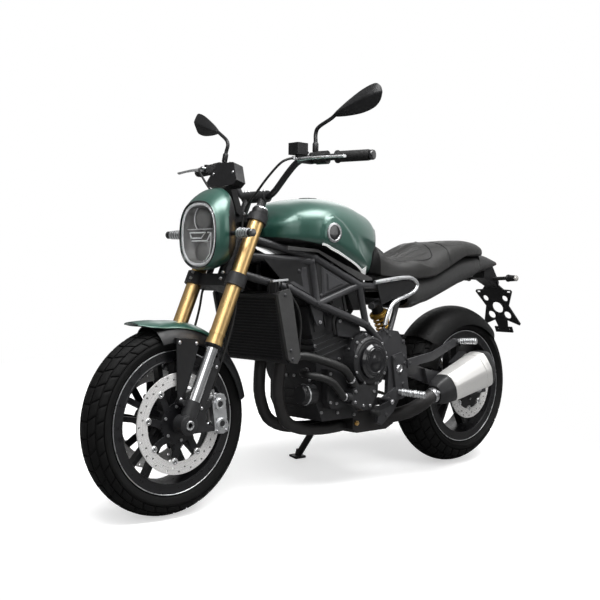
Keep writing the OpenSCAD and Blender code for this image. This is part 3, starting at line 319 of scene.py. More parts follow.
GREEN = material("green_satin", (0.018, 0.076, 0.056), 0.36, 0.45, vary=0.10, scale=2600, rough_vary=0.05,
                 coat=(0.8, 0.26), spec=0.7, grain=(0.05, 4000), edge=1.0)
# The stripes' white also glows a little: painted brightness, not a lamp.
WHITE_GLOW_PAINTED = material("white_stripe_glow_painted", (0.80, 0.81, 0.80), 0.4, vary=0.05, scale=200, painted_glow=0.45)
BLACK = material("black_moulded", (0.006, 0.006, 0.0065), 0.40, vary=0.25, grain=(0.35, 1500), edge=0.8,
                 spec=0.3)
GREY = material("grey_moulded", (0.030, 0.030, 0.030), 0.48, vary=0.15, grain=(0.4, 1700), edge=0.8,
                spec=0.4)
FRAME = material("frame_coat", (0.026, 0.026, 0.028), 0.40, 0.1, vary=0.2, scale=90, grain=(0.2, 700),
                 edge=1.0, spec=0.4)
WHEEL = material("wheel_black", (0.006, 0.006, 0.007), 0.34, vary=0.2, grain=(0.12, 900), edge=1.2,
                 spec=0.4)
CAST = material("cast_black", (0.013, 0.013, 0.014), 0.46, 0.1, vary=0.3, grain=(0.6, 700), edge=1.0,
                spec=0.4)
GLOSS = material("gloss_black", (0.005, 0.005, 0.006), 0.16, vary=0.1, coat=(0.5, 0.06), edge=0.8)
LEATHER = material("seat_leather", (0.012, 0.0118, 0.0112), 0.46, vary=0.18, cells=(0.45, 750), sheen=0.02,
                   spec=0.34)
RUBBER = material("tyre_rubber", (0.0045, 0.0045, 0.0045), 0.70, vary=0.35, scale=35, grain=(0.5, 600),
                  spec=0.12)
HOSE = material("hose_rubber", (0.008, 0.008, 0.008), 0.5, vary=0.2, grain=(0.3, 900), spec=0.35)
GRIP = material("grip_rubber", (0.007, 0.007, 0.007), 0.66, vary=0.2, grain=(0.4, 1500), spec=0.3)
GOLD = material("gold_anodised", (0.74, 0.50, 0.22), 0.32, 1.0, vary=0.10, scale=18, stretch=(12, 12, 1),
                rough_vary=0.06, grain=(0.04, 300), edge=0.8)
CHROME = material("bright_steel", (0.74, 0.75, 0.76), 0.16, 1.0, vary=0.06, scale=30, rough_vary=0.06)
ALLOY = material("bare_alloy", (0.62, 0.63, 0.64), 0.34, 1.0, vary=0.12, scale=70, grain=(0.25, 800),
                 edge=1.0)
STEEL = material("bolt_steel", (0.46, 0.46, 0.47), 0.32, 1.0, vary=0.2, scale=160, edge=0.5)
HEADER = material("header_black", (0.018, 0.017, 0.017), 0.5, 0.3, vary=0.35, scale=14, grain=(0.1, 500),
                  spec=0.4)
BRUSHED = material("brushed_steel", (0.82, 0.81, 0.79), 0.36, 0.7, vary=0.12, scale=90, stretch=(1, 30, 30),
                   rough_vary=0.08, grain=(0.06, 200))
FRONT_DISC = material("disc_steel_front", (0.86, 0.85, 0.84), 0.32, 0.65, vary=0.16, scale=1500,
                      rings=(FRONT_HUB, Y), edge=0.6)
REAR_DISC = material("disc_steel_rear", (0.86, 0.85, 0.84), 0.32, 0.65, vary=0.16, scale=1500,
                     rings=(REAR_HUB, Y), edge=0.6)
CHAIN = material("chain_steel", (0.30, 0.28, 0.24), 0.42, 1.0, vary=0.3, scale=200, edge=0.5)
SPRING = material("spring_gold", (0.72, 0.42, 0.08), 0.34, 0.6, vary=0.1, scale=60)
FINS = material("radiator_fins", (0.010, 0.010, 0.011), 0.5, 0.3, vary=0.3, scale=300, grain=(0.3, 900),
                spec=0.35)
RED = material("red_lens", (0.35, 0.012, 0.012), 0.12, vary=0.1, coat=(0.6, 0.04))
SMOKE = material("lens_clear", (0.84, 0.84, 0.84), 0.03, vary=0.02, rough_vary=0.01, transmission=1.0,
                 coat=(0.5, 0.02))
put(SMOKE.node_tree.nodes["Principled BSDF"], {"IOR": 1.04})
REFLECTOR = material("lamp_reflector", (0.17, 0.17, 0.168), 0.42, 0.2, vary=0.12, scale=40)
# Ring and trim strokes inside the headlight. They glow a little though they give no light: painted
# brightness.
TRIM_GLOW_PAINTED = material("lamp_trim_glow_painted", (0.66, 0.67, 0.68), 0.22, 0.1, vary=0.05, scale=200, coat=(0.5, 0.05),
                     painted_glow=0.10)
AMBER = material("indicator_lens", (0.36, 0.35, 0.33), 0.18, 0.2, vary=0.25, scale=260, coat=(0.6, 0.05))
ORANGE = material("orange_switch", (0.60, 0.16, 0.02), 0.4, vary=0.1, scale=300)
GLASS = material("mirror_glass", (0.72, 0.74, 0.76), 0.03, 1.0, vary=0.02, rough_vary=0.01)
SCREEN = material("instrument_glass", (0.010, 0.011, 0.013), 0.07, vary=0.1, coat=(0.8, 0.03))
SMOKED = material("smoked_lens", (0.03, 0.03, 0.03), 0.14, vary=0.2, scale=200, coat=(0.4, 0.05))
# A blacker copy of the black plastic, for the seat's nose and the rear hugger: their own black with painted
# shade on top.
BLACK_WITH_SHADE = material("black_with_painted_shade", (0.002, 0.002, 0.002), 0.5, vary=0.3, grain=(0.3, 1500), edge=0.8, spec=0.1)
SATIN = material("satin_black", (0.007, 0.007, 0.008), 0.36, 0.1, vary=0.2, scale=40, grain=(0.06, 600),
                 spec=0.4)

# Finish of each solid
FINISH = {
    FRAME: "frame swingarm footrests",
    BLACK: "frame_panels side_covers plate_holder rear_indicators airbox "
           "front_mudguard instrument switchgear mirrors front_indicators",
    GREY: "tank_trims tail_fairing radiator_shrouds",
    GREEN: "fuel_tank mudguard_cap headlight_shell",
    GLOSS: "fuel_cap",
    LEATHER: "seat",
    ALLOY: "seat_loops front_calipers levers",
    RED: "tail_light",
    CAST: "engine_block engine_covers shock_body rear_caliper triple_clamps fork_feet side_stand",
    FINS: "radiator",
    HOSE: "coolant_hoses brake_lines",
    HEADER: "exhaust_pipes",
    BRUSHED: "silencer",
    STEEL: "pivot_bolt rear_axle stand_bolt front_axle rear_sprocket",
    SPRING: "shock_spring",
    # The rear hugger takes the blacker finish: its own black with painted shade.
    BLACK_WITH_SHADE: "rear_hugger",
    CHAIN: "chain",
    SATIN: "pedals handlebar",
    GOLD: "fork_tubes",
    CHROME: "fork_stanchions",
    SMOKE: "headlight_lens",
    GRIP: "grips",
    RUBBER: "front_tyre rear_tyre",
    WHEEL: "front_rim rear_rim",
    FRONT_DISC: "front_discs",
    REAR_DISC: "rear_disc",
}


def dress_group():
    """Faces of the solids' meshes are joined and shaded smooth, up to an angle."""
    g = bpy.data.node_groups.new("soft_shading", "GeometryNodeTree")
    g.interface.new_socket("Geometry", in_out="INPUT", socket_type="NodeSocketGeometry")
    g.interface.new_socket("Geometry", in_out="OUTPUT", socket_type="NodeSocketGeometry")
    new, link = g.nodes.new, tools(g)[1]
    start, end = new("NodeGroupInput"), new("NodeGroupOutput")
    merge, drop = new("GeometryNodeMergeByDistance"), new("GeometryNodeRemoveAttribute")
    faces, edges = new("GeometryNodeSetShadeSmooth"), new("GeometryNodeSetShadeSmooth")
    angle, flat = new("GeometryNodeInputMeshEdgeAngle"), new("FunctionNodeCompare")
    edges.domain, flat.operation = "EDGE", "LESS_THAN"
    put(merge, {"Distance": 5e-6})
    put(drop, {"Name": "custom_normal"})
    put(flat, {"B": radians(36)})
    steps = (start, merge, drop, faces, edges, end)
    for a, b in zip(steps, steps[1:]):
        link(a, 0, b, 0)
    link(angle, "Unsigned Angle", flat, "A")
    link(flat, "Result", edges, "Shade Smooth")
    return g


SOFT = dress_group()
for finish, names in FINISH.items():
    for name in names.split():
        nodes[name].data.materials.clear()
        nodes[name].data.materials.append(finish)
        nodes[name].modifiers.new("soft", "NODES").node_group = SOFT


def split(o, mat, test):
    """The faces of an object that pass the test, by their middle, get a second finish."""
    o.data.materials.append(mat)
    mid = unplace([o.matrix_world @ f.center for f in o.data.polygons])
    for f, p in zip(o.data.polygons, mid):
        if test(*p):
            f.material_index = len(o.data.materials) - 1


# Middles of the two round engine covers, in the plane of the machine
CLUTCH = np.array([685.0, 0, 461])
GENERATOR = np.array([790.0, 0, 440])
split(nodes["footrests"], ALLOY, lambda x, y, z: abs(y) > 151.5)
split(nodes["engine_covers"], GLOSS,
      lambda x, y, z: y > 178.5 and hypot(x - CLUTCH[0], z - CLUTCH[2]) < 63)
split(nodes["fork_tubes"], BLACK, lambda x, y, z: (np.array([x, 0, z]) - FRONT_HUB) @ UP > 730)
split(nodes["radiator"], BLACK, lambda x, y, z: z > 700)

# Section helpers that follow the solids' own rows


def power(v, e):
    """A power that keeps the sign."""
    return np.sign(v) * np.abs(v) ** e


def rows_to_grid(rows, n, e, mid=0.0, steps=6, under=None):
    """Rounded sections across X. A row is x, half width, low, top and perhaps the widest line's height."""
    r = spline(rows, steps)
    a = 2 * np.pi * np.arange(n) / n
    e = np.where(np.sin(a) < -1e-9, under or e, e)
    c, s = power(np.cos(a), 2 / e), power(np.sin(a), 2 / e)
    out = []
    for q in r:
        m = q[4] if len(q) > 4 else q[2] + mid
        z = m + np.where(s > 0, s * (q[3] - m), s * (m - q[2]))
        out.append(np.c_[np.full(n, q[0]), q[1] * c, z])
    return np.array(out)


def rounded_ends(g, d0, d1, steps=4):
    """Closes both ends of a grid of sections with a rounded cap of depth d0 and d1."""
    def cap(ring, d):
        c = ring.mean(0)
        out = []
        for k in range(1, steps + 1):
            a = pi / 2 * k / steps
            out.append(c + (ring - c) * max(cos(a), 0.02) + np.array([d * sin(a), 0, 0]))
        return out
    return np.array(cap(g[0], d0)[::-1] + list(g) + cap(g[-1], d1))


# Tyres: the depth of the tread, then both tyres

TREAD = 5.0


def tyre(name, hub, r, crown, bead, half, rows, columns, body, node):
    """A carcass and its tread blocks. A column is two edges in degrees, then shift, shear and fill."""
    inner = r - crown
    end = degrees(asin(half / crown))
    shoulder = columns[-1][1] + 2
    prof = [(213, -bead + 8), (216.9, -bead + 2), (217.2, -bead), (226, -bead - 1.2), (231, -bead - 1)]
    wall = half - bead
    prof += [(236, -bead - wall * 0.42), (238, -bead - wall * 0.42 - 1.5), (240, -bead - wall * 0.55)]
    for a in np.linspace(-end, -shoulder - 1.5, 6):
        prof.append((inner + crown * cos(radians(a)), crown * sin(radians(a))))
    flank = list(prof)
    for a in np.linspace(-shoulder, shoulder, 25):
        q = crown - TREAD
        prof.append((inner + q * cos(radians(a)), q * sin(radians(a))))
    prof += [(p[0], -p[1]) for p in flank[::-1]]
    s = Shape().add(lathe(hub, Y, prof, 160, start=(1, 0, 0)))
    pitch = 360 / rows
    nu, nv = 4, 3
    rim = [(u, 0) for u in range(nu)] + [(nu, v) for v in range(nv)]
    rim += [(u, nv) for u in range(nu, 0, -1)] + [(0, v) for v in range(nv, 0, -1)]

    def at(u, v, q, col, t0, inset):
        lo, hi, shift, shear, fill = col
        v = min(max(v / nv, inset * 1.4), 1 - inset * 1.4)
        u = min(max(u / nu, inset), 1 - inset)
        f = radians(lo + (hi - lo) * v)
        t = radians(t0 + pitch * (shift + fill * (u - 0.5) + shear * (v - 0.5)))
        rad = inner + q * cos(f)
        return hub + np.array([rad * cos(t), q * sin(f), rad * sin(t)])

    for col in columns + [(-b, -a, sh + 0.5, -se, fi) for a, b, sh, se, fi in columns if a > 0]:
        for k in range(rows):
            t0 = pitch * k
            v = [at(u, w, crown - TREAD - 0.4, col, t0, 0) for u, w in rim]
            v += [at(u, w, crown - 0.9, col, t0, 0) for u, w in rim]
            top = [[at(u, w, crown, col, t0, 0.035) for w in range(nv + 1)] for u in range(nu + 1)]
            base = len(v)
            v += [p for line in top for p in line]
            m = len(rim)
            f = [[i, (i + 1) % m, m + (i + 1) % m, m + i] for i in range(m)]
            idx = [base + u * (nv + 1) + w for u, w in rim]
            f += [[m + i, m + (i + 1) % m, idx[(i + 1) % m], idx[i]] for i in range(m)]
            for u in range(nu):
                for w in range(nv):
                    a = base + u * (nv + 1) + w
                    f.append([a, a + nv + 1, a + nv + 2, a + 1])
            s.add((v, f))
    return make(name, s, RUBBER, body, (node,), angle=50)


FRONT_BLOCKS = [(-15, 15, 0, 0.0, 0.88), (19, 41, 0.25, 0.35, 0.9), (45, 65, 0.05, 0.3, 0.9)]
REAR_BLOCKS = [(-13, 13, 0, 0.0, 0.88), (16, 38, 0.25, 0.35, 0.9), (41, 63, 0.05, 0.3, 0.9)]
tyre("front_tread", FRONT_HUB, 300, 62, 44, 60, 36, FRONT_BLOCKS, "front_wheel", "front_tyre")
tyre("rear_tread", REAR_HUB, 315, 92, 70, 89, 36, REAR_BLOCKS, "rear_wheel", "rear_tyre")

# Body work

TANK = [[560, 74, 900, 952, 925], [575, 90, 862, 963, 900], [600, 112, 806, 980, 880],
        [630, 132, 762, 995, 872], [680, 152, 768, 1010, 868], [740, 168, 786, 1027, 872],
        [811, 180, 812, 1036, 890], [880, 186, 846, 1036, 905], [950, 180, 860, 1027, 915],
        [1010, 158, 866, 1006, 920], [1040, 134, 870, 982, 922], [1060, 108, 874, 960, 921],
        [1072, 80, 879, 946, 919], [1079, 50, 886, 934, 916]]
TANK_FINE = spline(TANK, 10)
# Roundness of the tank's sections above and below their widest line
ABOVE, BELOW = 2.7, 4.2
# Outline of the raised panel that carries the badge
PANEL = [(889, 974), (918, 964), (938, 940), (950, 908), (945, 882), (922, 866), (862, 845), (812, 824),
         (752, 803), (695, 780), (650, 764), (672, 800), (724, 836), (763, 870), (812, 919), (848, 950)]
# Height of the black trim's upper edge along the tank's flank
TRIM = [(560, 700), (650, 766), (695, 782), (752, 805), (812, 828), (862, 849), (918, 868), (966, 876),
        (1012, 884), (1079, 894)]


def on_tank(x, z, out=0.0):
    """A point of the tank's near side at a place along and up, and so far out from it."""
    def y_at(x, z):
        hw, low, top, mid = (np.interp(x, TANK_FINE[:, 0], TANK_FINE[:, k]) for k in (1, 2, 3, 4))
        s = min(abs((z - mid) / (top - mid if z > mid else mid - low)), 0.9995)
        e = ABOVE if z > mid else BELOW
        return hw * (1 - s**e) ** (1 / e)
    n = unit((-(y_at(x + 2, z) - y_at(x - 2, z)) / 4, 1, -(y_at(x, z + 2) - y_at(x, z - 2)) / 4))
    return np.array([x, y_at(x, z), z]) + out * n, n


def inside(points, outline):
    """Distance of flat points inside an outline, negative outside."""
    o = np.asarray(outline, float)
    far = np.full(len(points), 1e9)
    odd = np.zeros(len(points), bool)
    for a, b in zip(o, np.roll(o, -1, 0)):
        t = np.clip(((points - a) @ (b - a)) / ((b - a) @ (b - a)), 0, 1)
        far = np.minimum(far, np.linalg.norm(points - a - t[:, None] * (b - a), axis=1))
        cross = (a[1] > points[:, 1]) != (b[1] > points[:, 1])
        with np.errstate(divide="ignore", invalid="ignore"):
            at_x = a[0] + (points[:, 1] - a[1]) / (b[1] - a[1]) * (b[0] - a[0])
        odd ^= cross & (points[:, 0] < at_x)
    return np.where(odd, far, -far)


def ease(v, a, b):
    """A smooth step from 0 at a to 1 at b."""
    t = np.clip((v - a) / (b - a), 0, 1)
    return t * t * (3 - 2 * t)


tank = rows_to_grid(TANK, 176, ABOVE, steps=10, under=BELOW)
flat = tank.reshape(-1, 3)
lift = 6.0 * ease(inside(flat[:, [0, 2]], PANEL), -2, 4) * ease(np.abs(flat[:, 1]), 70, 90)
# Behind the panel a facet turns to the rear, from its front corner
from_corner = flat[:, [0, 2]] - [770, 921]
behind = from_corner @ [-0.845, 0.534]
under = from_corner @ [0.245, -1]
sink = 13.0 * np.clip(behind / 60.0, 0, 1) * ease(behind, 0, 3)
sink *= ease(under, 0, 34) * ease(np.abs(flat[:, 1]), 40, 80)
flat[:, 1] += np.sign(flat[:, 1]) * (lift - sink * (lift < 0.5))
skin = make("tank_skin", grid(rounded_ends(tank, -5, 5)), GREEN, "chassis", ("fuel_tank",),
            angle=60)
split(skin, BLACK, lambda x, y, z: z < np.interp(x, *zip(*TRIM)))


def ribbon(path, wide, out):
    """A painted line along the tank's flank."""
    p = spline(path, 8)
    d = np.gradient(p, axis=0)
    d /= np.linalg.norm(d, axis=1)[:, None]
    rings = []
    for q, t in zip(p, d):
        w = np.array([-t[1], t[0]])
        section = [(u, out) for u in (-1, 0, 1)] + [(u, 1) for u in (1, 0, -1)]
        rings.append([on_tank(*(q + wide * u * w), o)[0] for u, o in section])
    return grid(rings)


stripe = Shape()
stations = (936, 918, 890, 862, 837, 812, 782, 752, 722, 702)
edge_line = [(x, np.interp(x, *zip(*TRIM)) + 4.5) for x in stations]
stripe.both(ribbon(edge_line, 1.9, 6.6))
stripe.both(ribbon([(702, 790), (694, 800)], 1.6, 6.6))
corners = ((696, 784), (690, 797), (655, 772))
tri = [on_tank(x, z, o)[0] for o in (6.8, 2) for x, z in corners]
stripe.both((tri, [[0, 1, 2], [5, 4, 3], [0, 3, 4, 1], [1, 4, 5, 2], [2, 5, 3, 0]]))
# The stripes glow a little: painted brightness.
make("tank_stripes", stripe, WHITE_GLOW_PAINTED, "chassis", angle=40)

badge, badge_n = on_tank(897, 912, 5.4)
RING = [(25, 1.4), (26, 3.0), (30.5, 3.2), (32.5, 2.0), (33.6, 1.6), (34, -3)]
FIELD = [(0, 2.3), (12, 2.2), (20, 1.9), (25.5, 1.4), (25.5, -1)]
make("tank_badges", Shape().both(lathe(badge, badge_n, RING, 64)), STEEL, "chassis")
make("badge_fields", Shape().both(lathe(badge, badge_n, FIELD, 64)), GLOSS, "chassis")

FILLER = np.array([840.0, 0, 1040])
cap = Shape()
for k in range(7):
    a = 2 * pi * k / 7
    cap.add(bolt(FILLER + [28 * cos(a), 28 * sin(a), 0], (0, 0, 1), 2.6, 0.6))
cap.add(lathe(FILLER, (0, 0, 1), [(17, -0.5), (17.5, 0.3), (20, 0.4), (21, 0.2), (21, -0.5)], 48))
make("cap_trim", cap, STEEL, "chassis")

# Seat: the rider's part has sewn ribs within a seam, and a piped line parts it from the passenger's

SEAT = [[-113, 62, 850, 872], [-100, 82, 849, 892], [-60, 96, 848, 907], [0, 108, 846, 914],
        [60, 116, 838, 912], [150, 126, 806, 905], [240, 136, 772, 901], [280, 140, 760, 897],
        [320, 142, 755, 887], [360, 140, 752, 868], [410, 134, 751, 843], [460, 124, 751, 836],
        [500, 112, 752, 852], [530, 100, 756, 878], [550, 92, 760, 882], [575, 84, 765, 850],
        [592, 76, 765, 806]]
SEAT_FINE = spline(SEAT, 12)
# The seam lies at a share of the half width and at a height
SEAM, SEAM_Z = 0.78, 829
# Where the passenger's part ends, and where the nose begins whose dark plastic is made blacker with painted
# shade
PARTING, NOSE = 172, 546


def groove(v, wide):
    """A rounded channel, 1 deep."""
    return np.exp(-((v / wide) ** 2))


seat = rows_to_grid(SEAT, 160, 3.2, 14, steps=12)
flat = seat.reshape(-1, 3)
x, y, z = flat.T
hw = np.interp(x, SEAT_FINE[:, 0], SEAT_FINE[:, 1])
top = np.interp(x, SEAT_FINE[:, 0], SEAT_FINE[:, 3])
# The rider's part falls away from a crown to the seam along its edge
crown = top - np.maximum(top - SEAM_Z, 0) * np.minimum(np.abs(y) / (SEAM * hw), 1.3) ** 1.6
over = np.maximum(z - crown, 0) * ease(x, 130, 340) * (1 - ease(x, 460, 530))
z -= over
face = ease(z + over, top - 34, top - 12)
part = np.abs(y) / hw
rider = ease(x, 256, 290) * (1 - ease(x, 476, 500))
dz = np.zeros(len(x))
for k in (0.0, 0.2, 0.4, 0.6):
    dz -= 5.0 * rider * groove((part - k) * hw, 4.0)
dz += 3.0 * rider * ease(0.7 - part, 0, 0.06) * np.abs(np.sin(np.pi * part / 0.2))
dz -= 3.6 * groove((part - SEAM) * hw, 4.0) * ease(x, 256, 280) * (1 - ease(x, 536, 546))
for k in (20, 70, 120):
    dz -= 2.5 * groove(x - k, 4) * ease(0.75 - part, 0, 0.05)
flat[:, 2] += dz * face
side = ease(np.abs(y), 0.8 * hw, 0.97 * hw) * ease(z, 772, 790)
puff = np.sin(x / 47.0) * 0.8 + np.sin(x / 19.0 + z / 23.0) * 0.5
puff -= 2.2 * groove(x - PARTING, 4) * ease(z, 770, 790)
flat[:, 1] += np.sign(y) * side * puff
flat[:, 2] -= 3.0 * groove(x - PARTING, 4) * face
cushion = make("seat_cushion", grid(rounded_ends(seat, -4, 4)), LEATHER, "chassis", ("seat",),
               angle=70)
# The seat's nose takes the blacker finish: its dark plastic with painted shade where it meets the tank.
split(cushion, BLACK_WITH_SHADE, lambda x, y, z: x > NOSE)
along = seat[:, 0, 0]
piping = Shape()
seam = list(seat[(along > 272) & (along < 540), 21][::-3] + [0, 0.4, 0.8])
for q, k in ((262, 22), (252, 25), (244, 29), (239, 34), (237, 40)):
    seam.append(seat[np.argmin(np.abs(along - q)), k] + [0, 0, 0.6])
piping.both(tube(seam, 2.0, 10))
row = seat[np.argmin(np.abs(along - PARTING))]
piping.add(tube(row[2:79:2] + [0, 0, 0.6], 2.6, 10, start=(1, 0, 0)))
make("seat_piping", piping, BLACK, "chassis")

# Headlight

FRONT_C = head(640)
LX, LZ = FRONT_C[0], FRONT_C[2]


def oval(x, hw, low, top, mid, e=2.5, n=96):
    a = 2 * np.pi * np.arange(n) / n
    c, s = power(np.cos(a), 2 / e), power(np.sin(a), 2 / e)
    return np.c_[np.full(n, x), hw * c, mid + np.where(s > 0, s * (top - mid), s * (mid - low))]


def lens(x, g):
    """The lamp's oval at a place along X, drawn in by g."""
    return oval(LX + x, 92 - g, LZ - 80 + g, LZ + 130 - g, LZ + 25)


SHELL = [[58, 56, -34, 120], [82, 90, -70, 174], [112, 106, -84, 176], [140, 110, -91, 160],
         [158, 104, -90, 144], [167, 97, -85, 134]]
shell = [oval(LX + r[0], r[1], LZ + r[2], LZ + r[3], LZ + 24) for r in spline(SHELL, 6)]
for a, b in ((169.5, 1.5), (169.8, 2.6), (168, 3.4), (140, 4.5)):
    shell.append(oval(LX + a, 97 - b, LZ - 85 + b, LZ + 134 - b, LZ + 24))
centre = shell[0].mean(0)
back = [centre + (shell[0] - centre) * k - [d, 0, 0] for k, d in ((0.1, 6), (0.6, 5), (0.9, 2))]
pods = Shape().add(grid(back + shell, caps=(True, False)))
for s in (-1, 1):
    pods.add(lathe(head(510.3, 30 * s, 43), UP, [(0, 0), (9, 0), (9, 50), (0, 50)], 24))
cowl = make("headlight_cowl", pods, GREEN, "steering", ("headlight_shell",), angle=44)
split(cowl, BLACK, lambda x, y, z: x - LX < 24 + 0.958 * abs(y) or z < LZ - 60 and x - LX < 100)
BOWL = ((166, 13), (160, 15), (146, 20), (132, 34), (124, 60), (122, 84))
GUIDE = ((162, 1), (166.5, 2.5), (168, 6), (167.2, 10), (163, 12.5), (156, 13))
RIM = ((168.5, 0), (171, -1.2), (171.4, -3), (169.5, -4.6))
# The lamp's ring glows a little: painted brightness.
for name, rows, mat, slot in (("bowl", BOWL, REFLECTOR, "lamp_glass"),
                              ("ring", GUIDE, TRIM_GLOW_PAINTED, "lamp_glass"),
                              ("rim", RIM, GLOSS, "black_plastic")):
    made = grid([lens(q, g) for q, g in rows], caps=(False, name == "bowl"))
    make("headlight_" + name, made, mat, "steering", angle=60)


def lamp(*yz, x=152.0):
    """Points within the lamp, from its middle."""
    return [(LX + x, q[0], LZ + q[1]) for q in yz]


# The trim strokes, arc and bar glow a little: painted brightness.
trim = Shape()
trim.add(tube(lamp((-52, 13), (-59, 31), (20, 31), (-1, 13), (-46, 13)), 2.6, 10, start=(1, 0, 0)))
trim.add(tube(lamp((-48, 4), (30, 4), (50, 31), (34, 31)), 2.6, 10, start=(1, 0, 0)))
trim.add(tube(lamp((50, 28), (49, -12), (43, -40), (24, -58), (10, -62)), 1.8, 10, start=(1, 0, 0)))
# A thin glowing arc left of the upper lens stands for a light streak there: painted highlight.
bow = [(-4 - 34 * cos(w), 76 + 40 * sin(w)) for w in np.linspace(-0.9, 1.3, 20)]
trim.add(tube(lamp(*bow, x=150), 1.5, 8, start=(1, 0, 0)))
trim.add(block((LX + 152, -8, LZ + 42), (3, 0, 0), (0, 62, 0), (0, 0, 0.9)))
make("headlight_trim", trim, TRIM_GLOW_PAINTED, "steering")
eyes = Shape()
for z, r in ((78, 40), (-30, 42)):
    dome = [(k * r, h) for k, h in ((1, -2), (0.9, 8), (0.7, 13), (0.4, 16.5), (0.2, 17.6), (0, 18))]
    eyes.add(lathe((LX + 134, -4, LZ + z), (1, 0, 0), dome, 64))
make("headlight_eyes", eyes, REFLECTOR, "steering", angle=60)
PANE = ((167.5, 0.6), (170, 1.4), (171.6, 4), (172.6, 12), (173.8, 30), (174.6, 60), (174.8, 86))
make("headlight_glass", grid([lens(q, g) for q, g in PANE], caps=(False, True)), SMOKE, "steering",
     ("headlight_lens",), angle=70)

# Screws, rings and small fittings, gathered by finish and by the body they ride on

bits = {}


def bit(made, mat, body="chassis", both=False):
    s = bits.setdefault((mat, body), Shape())
    if both:
        s.both(made)
    else:
        s.add(made)


def on_fork(made, mat):
    """A fitting on both sides of the steered part."""
    bit(made, mat, "steering", True)


def on_sides(made, mat):
    """A fitting on both sides of the chassis."""
    bit(made, mat, both=True)


def ribs(a, b, r0, r1, count, n=32):
    """A turned grip between two points, with so many ridges."""
    a, b = np.asarray(a, float), np.asarray(b, float)
    h = np.linalg.norm(b - a)
    prof = [(0, 0), (r0, 0)]
    for k in range(count):
        prof += [(r, h * (k + q) / count) for r, q in ((r0, 0.12), (r1, 0.3), (r1, 0.7), (r0, 0.88))]
    return lathe(a, b - a, prof + [(r0, h), (0, h)], n)


def ring(at, axis, r, wide, tall):
    """A band round a tube."""
    low = [(r - 1, -wide), (r + tall, -wide), (r + tall + 0.6, -wide * 0.6)]
    return lathe(at, axis, low + [(q, -h) for q, h in low[::-1]], 48)


def wheel_at(hub, r, deg, y):
    """A point round a hub."""
    return hub + np.array([r * cos(radians(deg)), y, r * sin(radians(deg))])


def tilted(deg):
    """The directions ahead and up, turned nose up."""
    a = radians(deg)
    return np.array([cos(a), 0, sin(a)]), np.array([-sin(a), 0, cos(a)])


# Wheels
for hub, body, r_in, y, at, bead in ((FRONT_HUB, "front_wheel", 119, 74.5, 8.1, 44),
                                     (REAR_HUB, "rear_wheel", 91, 102.5, 0, 70)):
    pair = body == "front_wheel"
    for k in range(8):
        p = wheel_at(hub, r_in, at + 45 * k, y)
        bit(lathe(p, Y, [(3.4, -2), (3.4, 1.6), (4.4, 2.2), (8.4, 2.2), (9.4, 1.2), (9.4, -1)], 32), CHROME,
            body, pair)
        bit(lathe(p, Y, [(0, 0.6), (3.6, 0.6), (3.6, -2)], 24), BLACK, body, pair)
    for k in range(6):
        bit(bolt(wheel_at(hub, 54, 60 * k + 20, 70 if pair else 98), Y, 5, 4), STEEL, body, pair)
    # A bright alloy band round each rim's lip: the lip's bare metal, and also a painted highlight along the
    # rim's edge.
    bit(lathe(hub, Y, [(225.4, bead + 5), (226.2, bead + 5.7), (228, bead + 5.6), (228.5, bead + 4.4),
                       (228.1, bead + 2)], 128), ALLOY, body, True)
    bit(lathe(hub, Y, [(193, bead + 5), (194, bead + 6), (198, bead + 6), (199, bead + 5)], 128), WHEEL,
        body, True)
    valve = wheel_at(hub, 190, 108, 6)
    bit(tube([valve, valve + [9, 6, -24]], 4, 12), HOSE, body)
for s in (1, -1):
    bit(lathe(FRONT_HUB + Y * 130 * s, Y * s, [(8.2, -2), (8.2, 1.4), (13, 1.8), (15, 0.6), (15, -4)], 48),
        CHROME, "steering")
    bit(lathe(FRONT_HUB + Y * 126 * s, Y * s, [(17, -1), (18, 1.5), (29, 1.5), (31, 0), (31, -2)], 48),
        CAST, "steering")
on_sides(bolt(REAR_HUB + Y * 152, Y, 13, 9, "hex"), STEEL)

# Front brakes
CAL = radians(172)


def caliper(a, b, y):
    """A point by the front caliper, a out from the axle and b along the disc."""
    return FRONT_HUB + np.array([a * cos(CAL) - b * sin(CAL), y, a * sin(CAL) + b * cos(CAL)])


for b in (-32, 32):
    on_fork(lathe(caliper(146, b, 104), Y, [(0, -1.6), (10.6, -1.6), (11, 0.6), (17, 0.6), (18.4, -0.6),
                                            (18.6, -3)], 40), ALLOY)
    on_fork(lathe(caliper(146, b, 103), Y, [(0, 0.4), (9.8, 0.4), (10, -1)], 40), CAST)
for a, b in ((126, -54), (126, 54)):
    on_fork(bolt(caliper(a, b, 99), Y, 6.5, 5), STEEL)
on_fork(bolt(caliper(162, 58, 98), Y, 4, 7, "hex"), STEEL)

# Fork: seal, band, clamp collar, cap and adjuster of a leg, then the clamps' screws
FORK_Y = 105
for mat, profile in ((BLACK, [(20.6, 254), (25, 255), (27.4, 258), (27.6, 266), (26, 268)]),
                     (GLOSS, [(25, 275), (26.6, 275), (26.6, 277.5), (25, 277.5)]),
                     (BLACK, [(24, 722), (27, 723), (27.6, 727), (27.6, 741), (26, 744), (21, 745)]),
                     (CHROME, [(20.4, 749), (25, 745), (24, 748.6), (20, 752.6), (14, 753.2),
                               (13.4, 749)])):
    on_fork(lathe(leg(0, FORK_Y), UP, profile, 48), mat)
on_fork(lathe(leg(0, FORK_Y), UP, [(0, 757), (7, 757), (8, 756), (8, 750)], 6), GOLD)
for s in (478, 500):
    on_fork(bolt(head(s, 78, 74), AHEAD, 5, 6), STEEL)
on_fork(bolt(head(711, 78, 71), AHEAD, 4.5, 5), STEEL)
for s, f in ((66, -36), (206, -38)):
    on_fork(bolt(leg(s, 109, f), Y, 5.5, 3.5, "dome"), STEEL)
for p in ((8, 254), (-58, 248), (2, 76)):
    on_fork(bolt(FRONT_HUB + [p[0], 83.5, p[1]], Y, 6, 3.5, "dome"), STEEL)
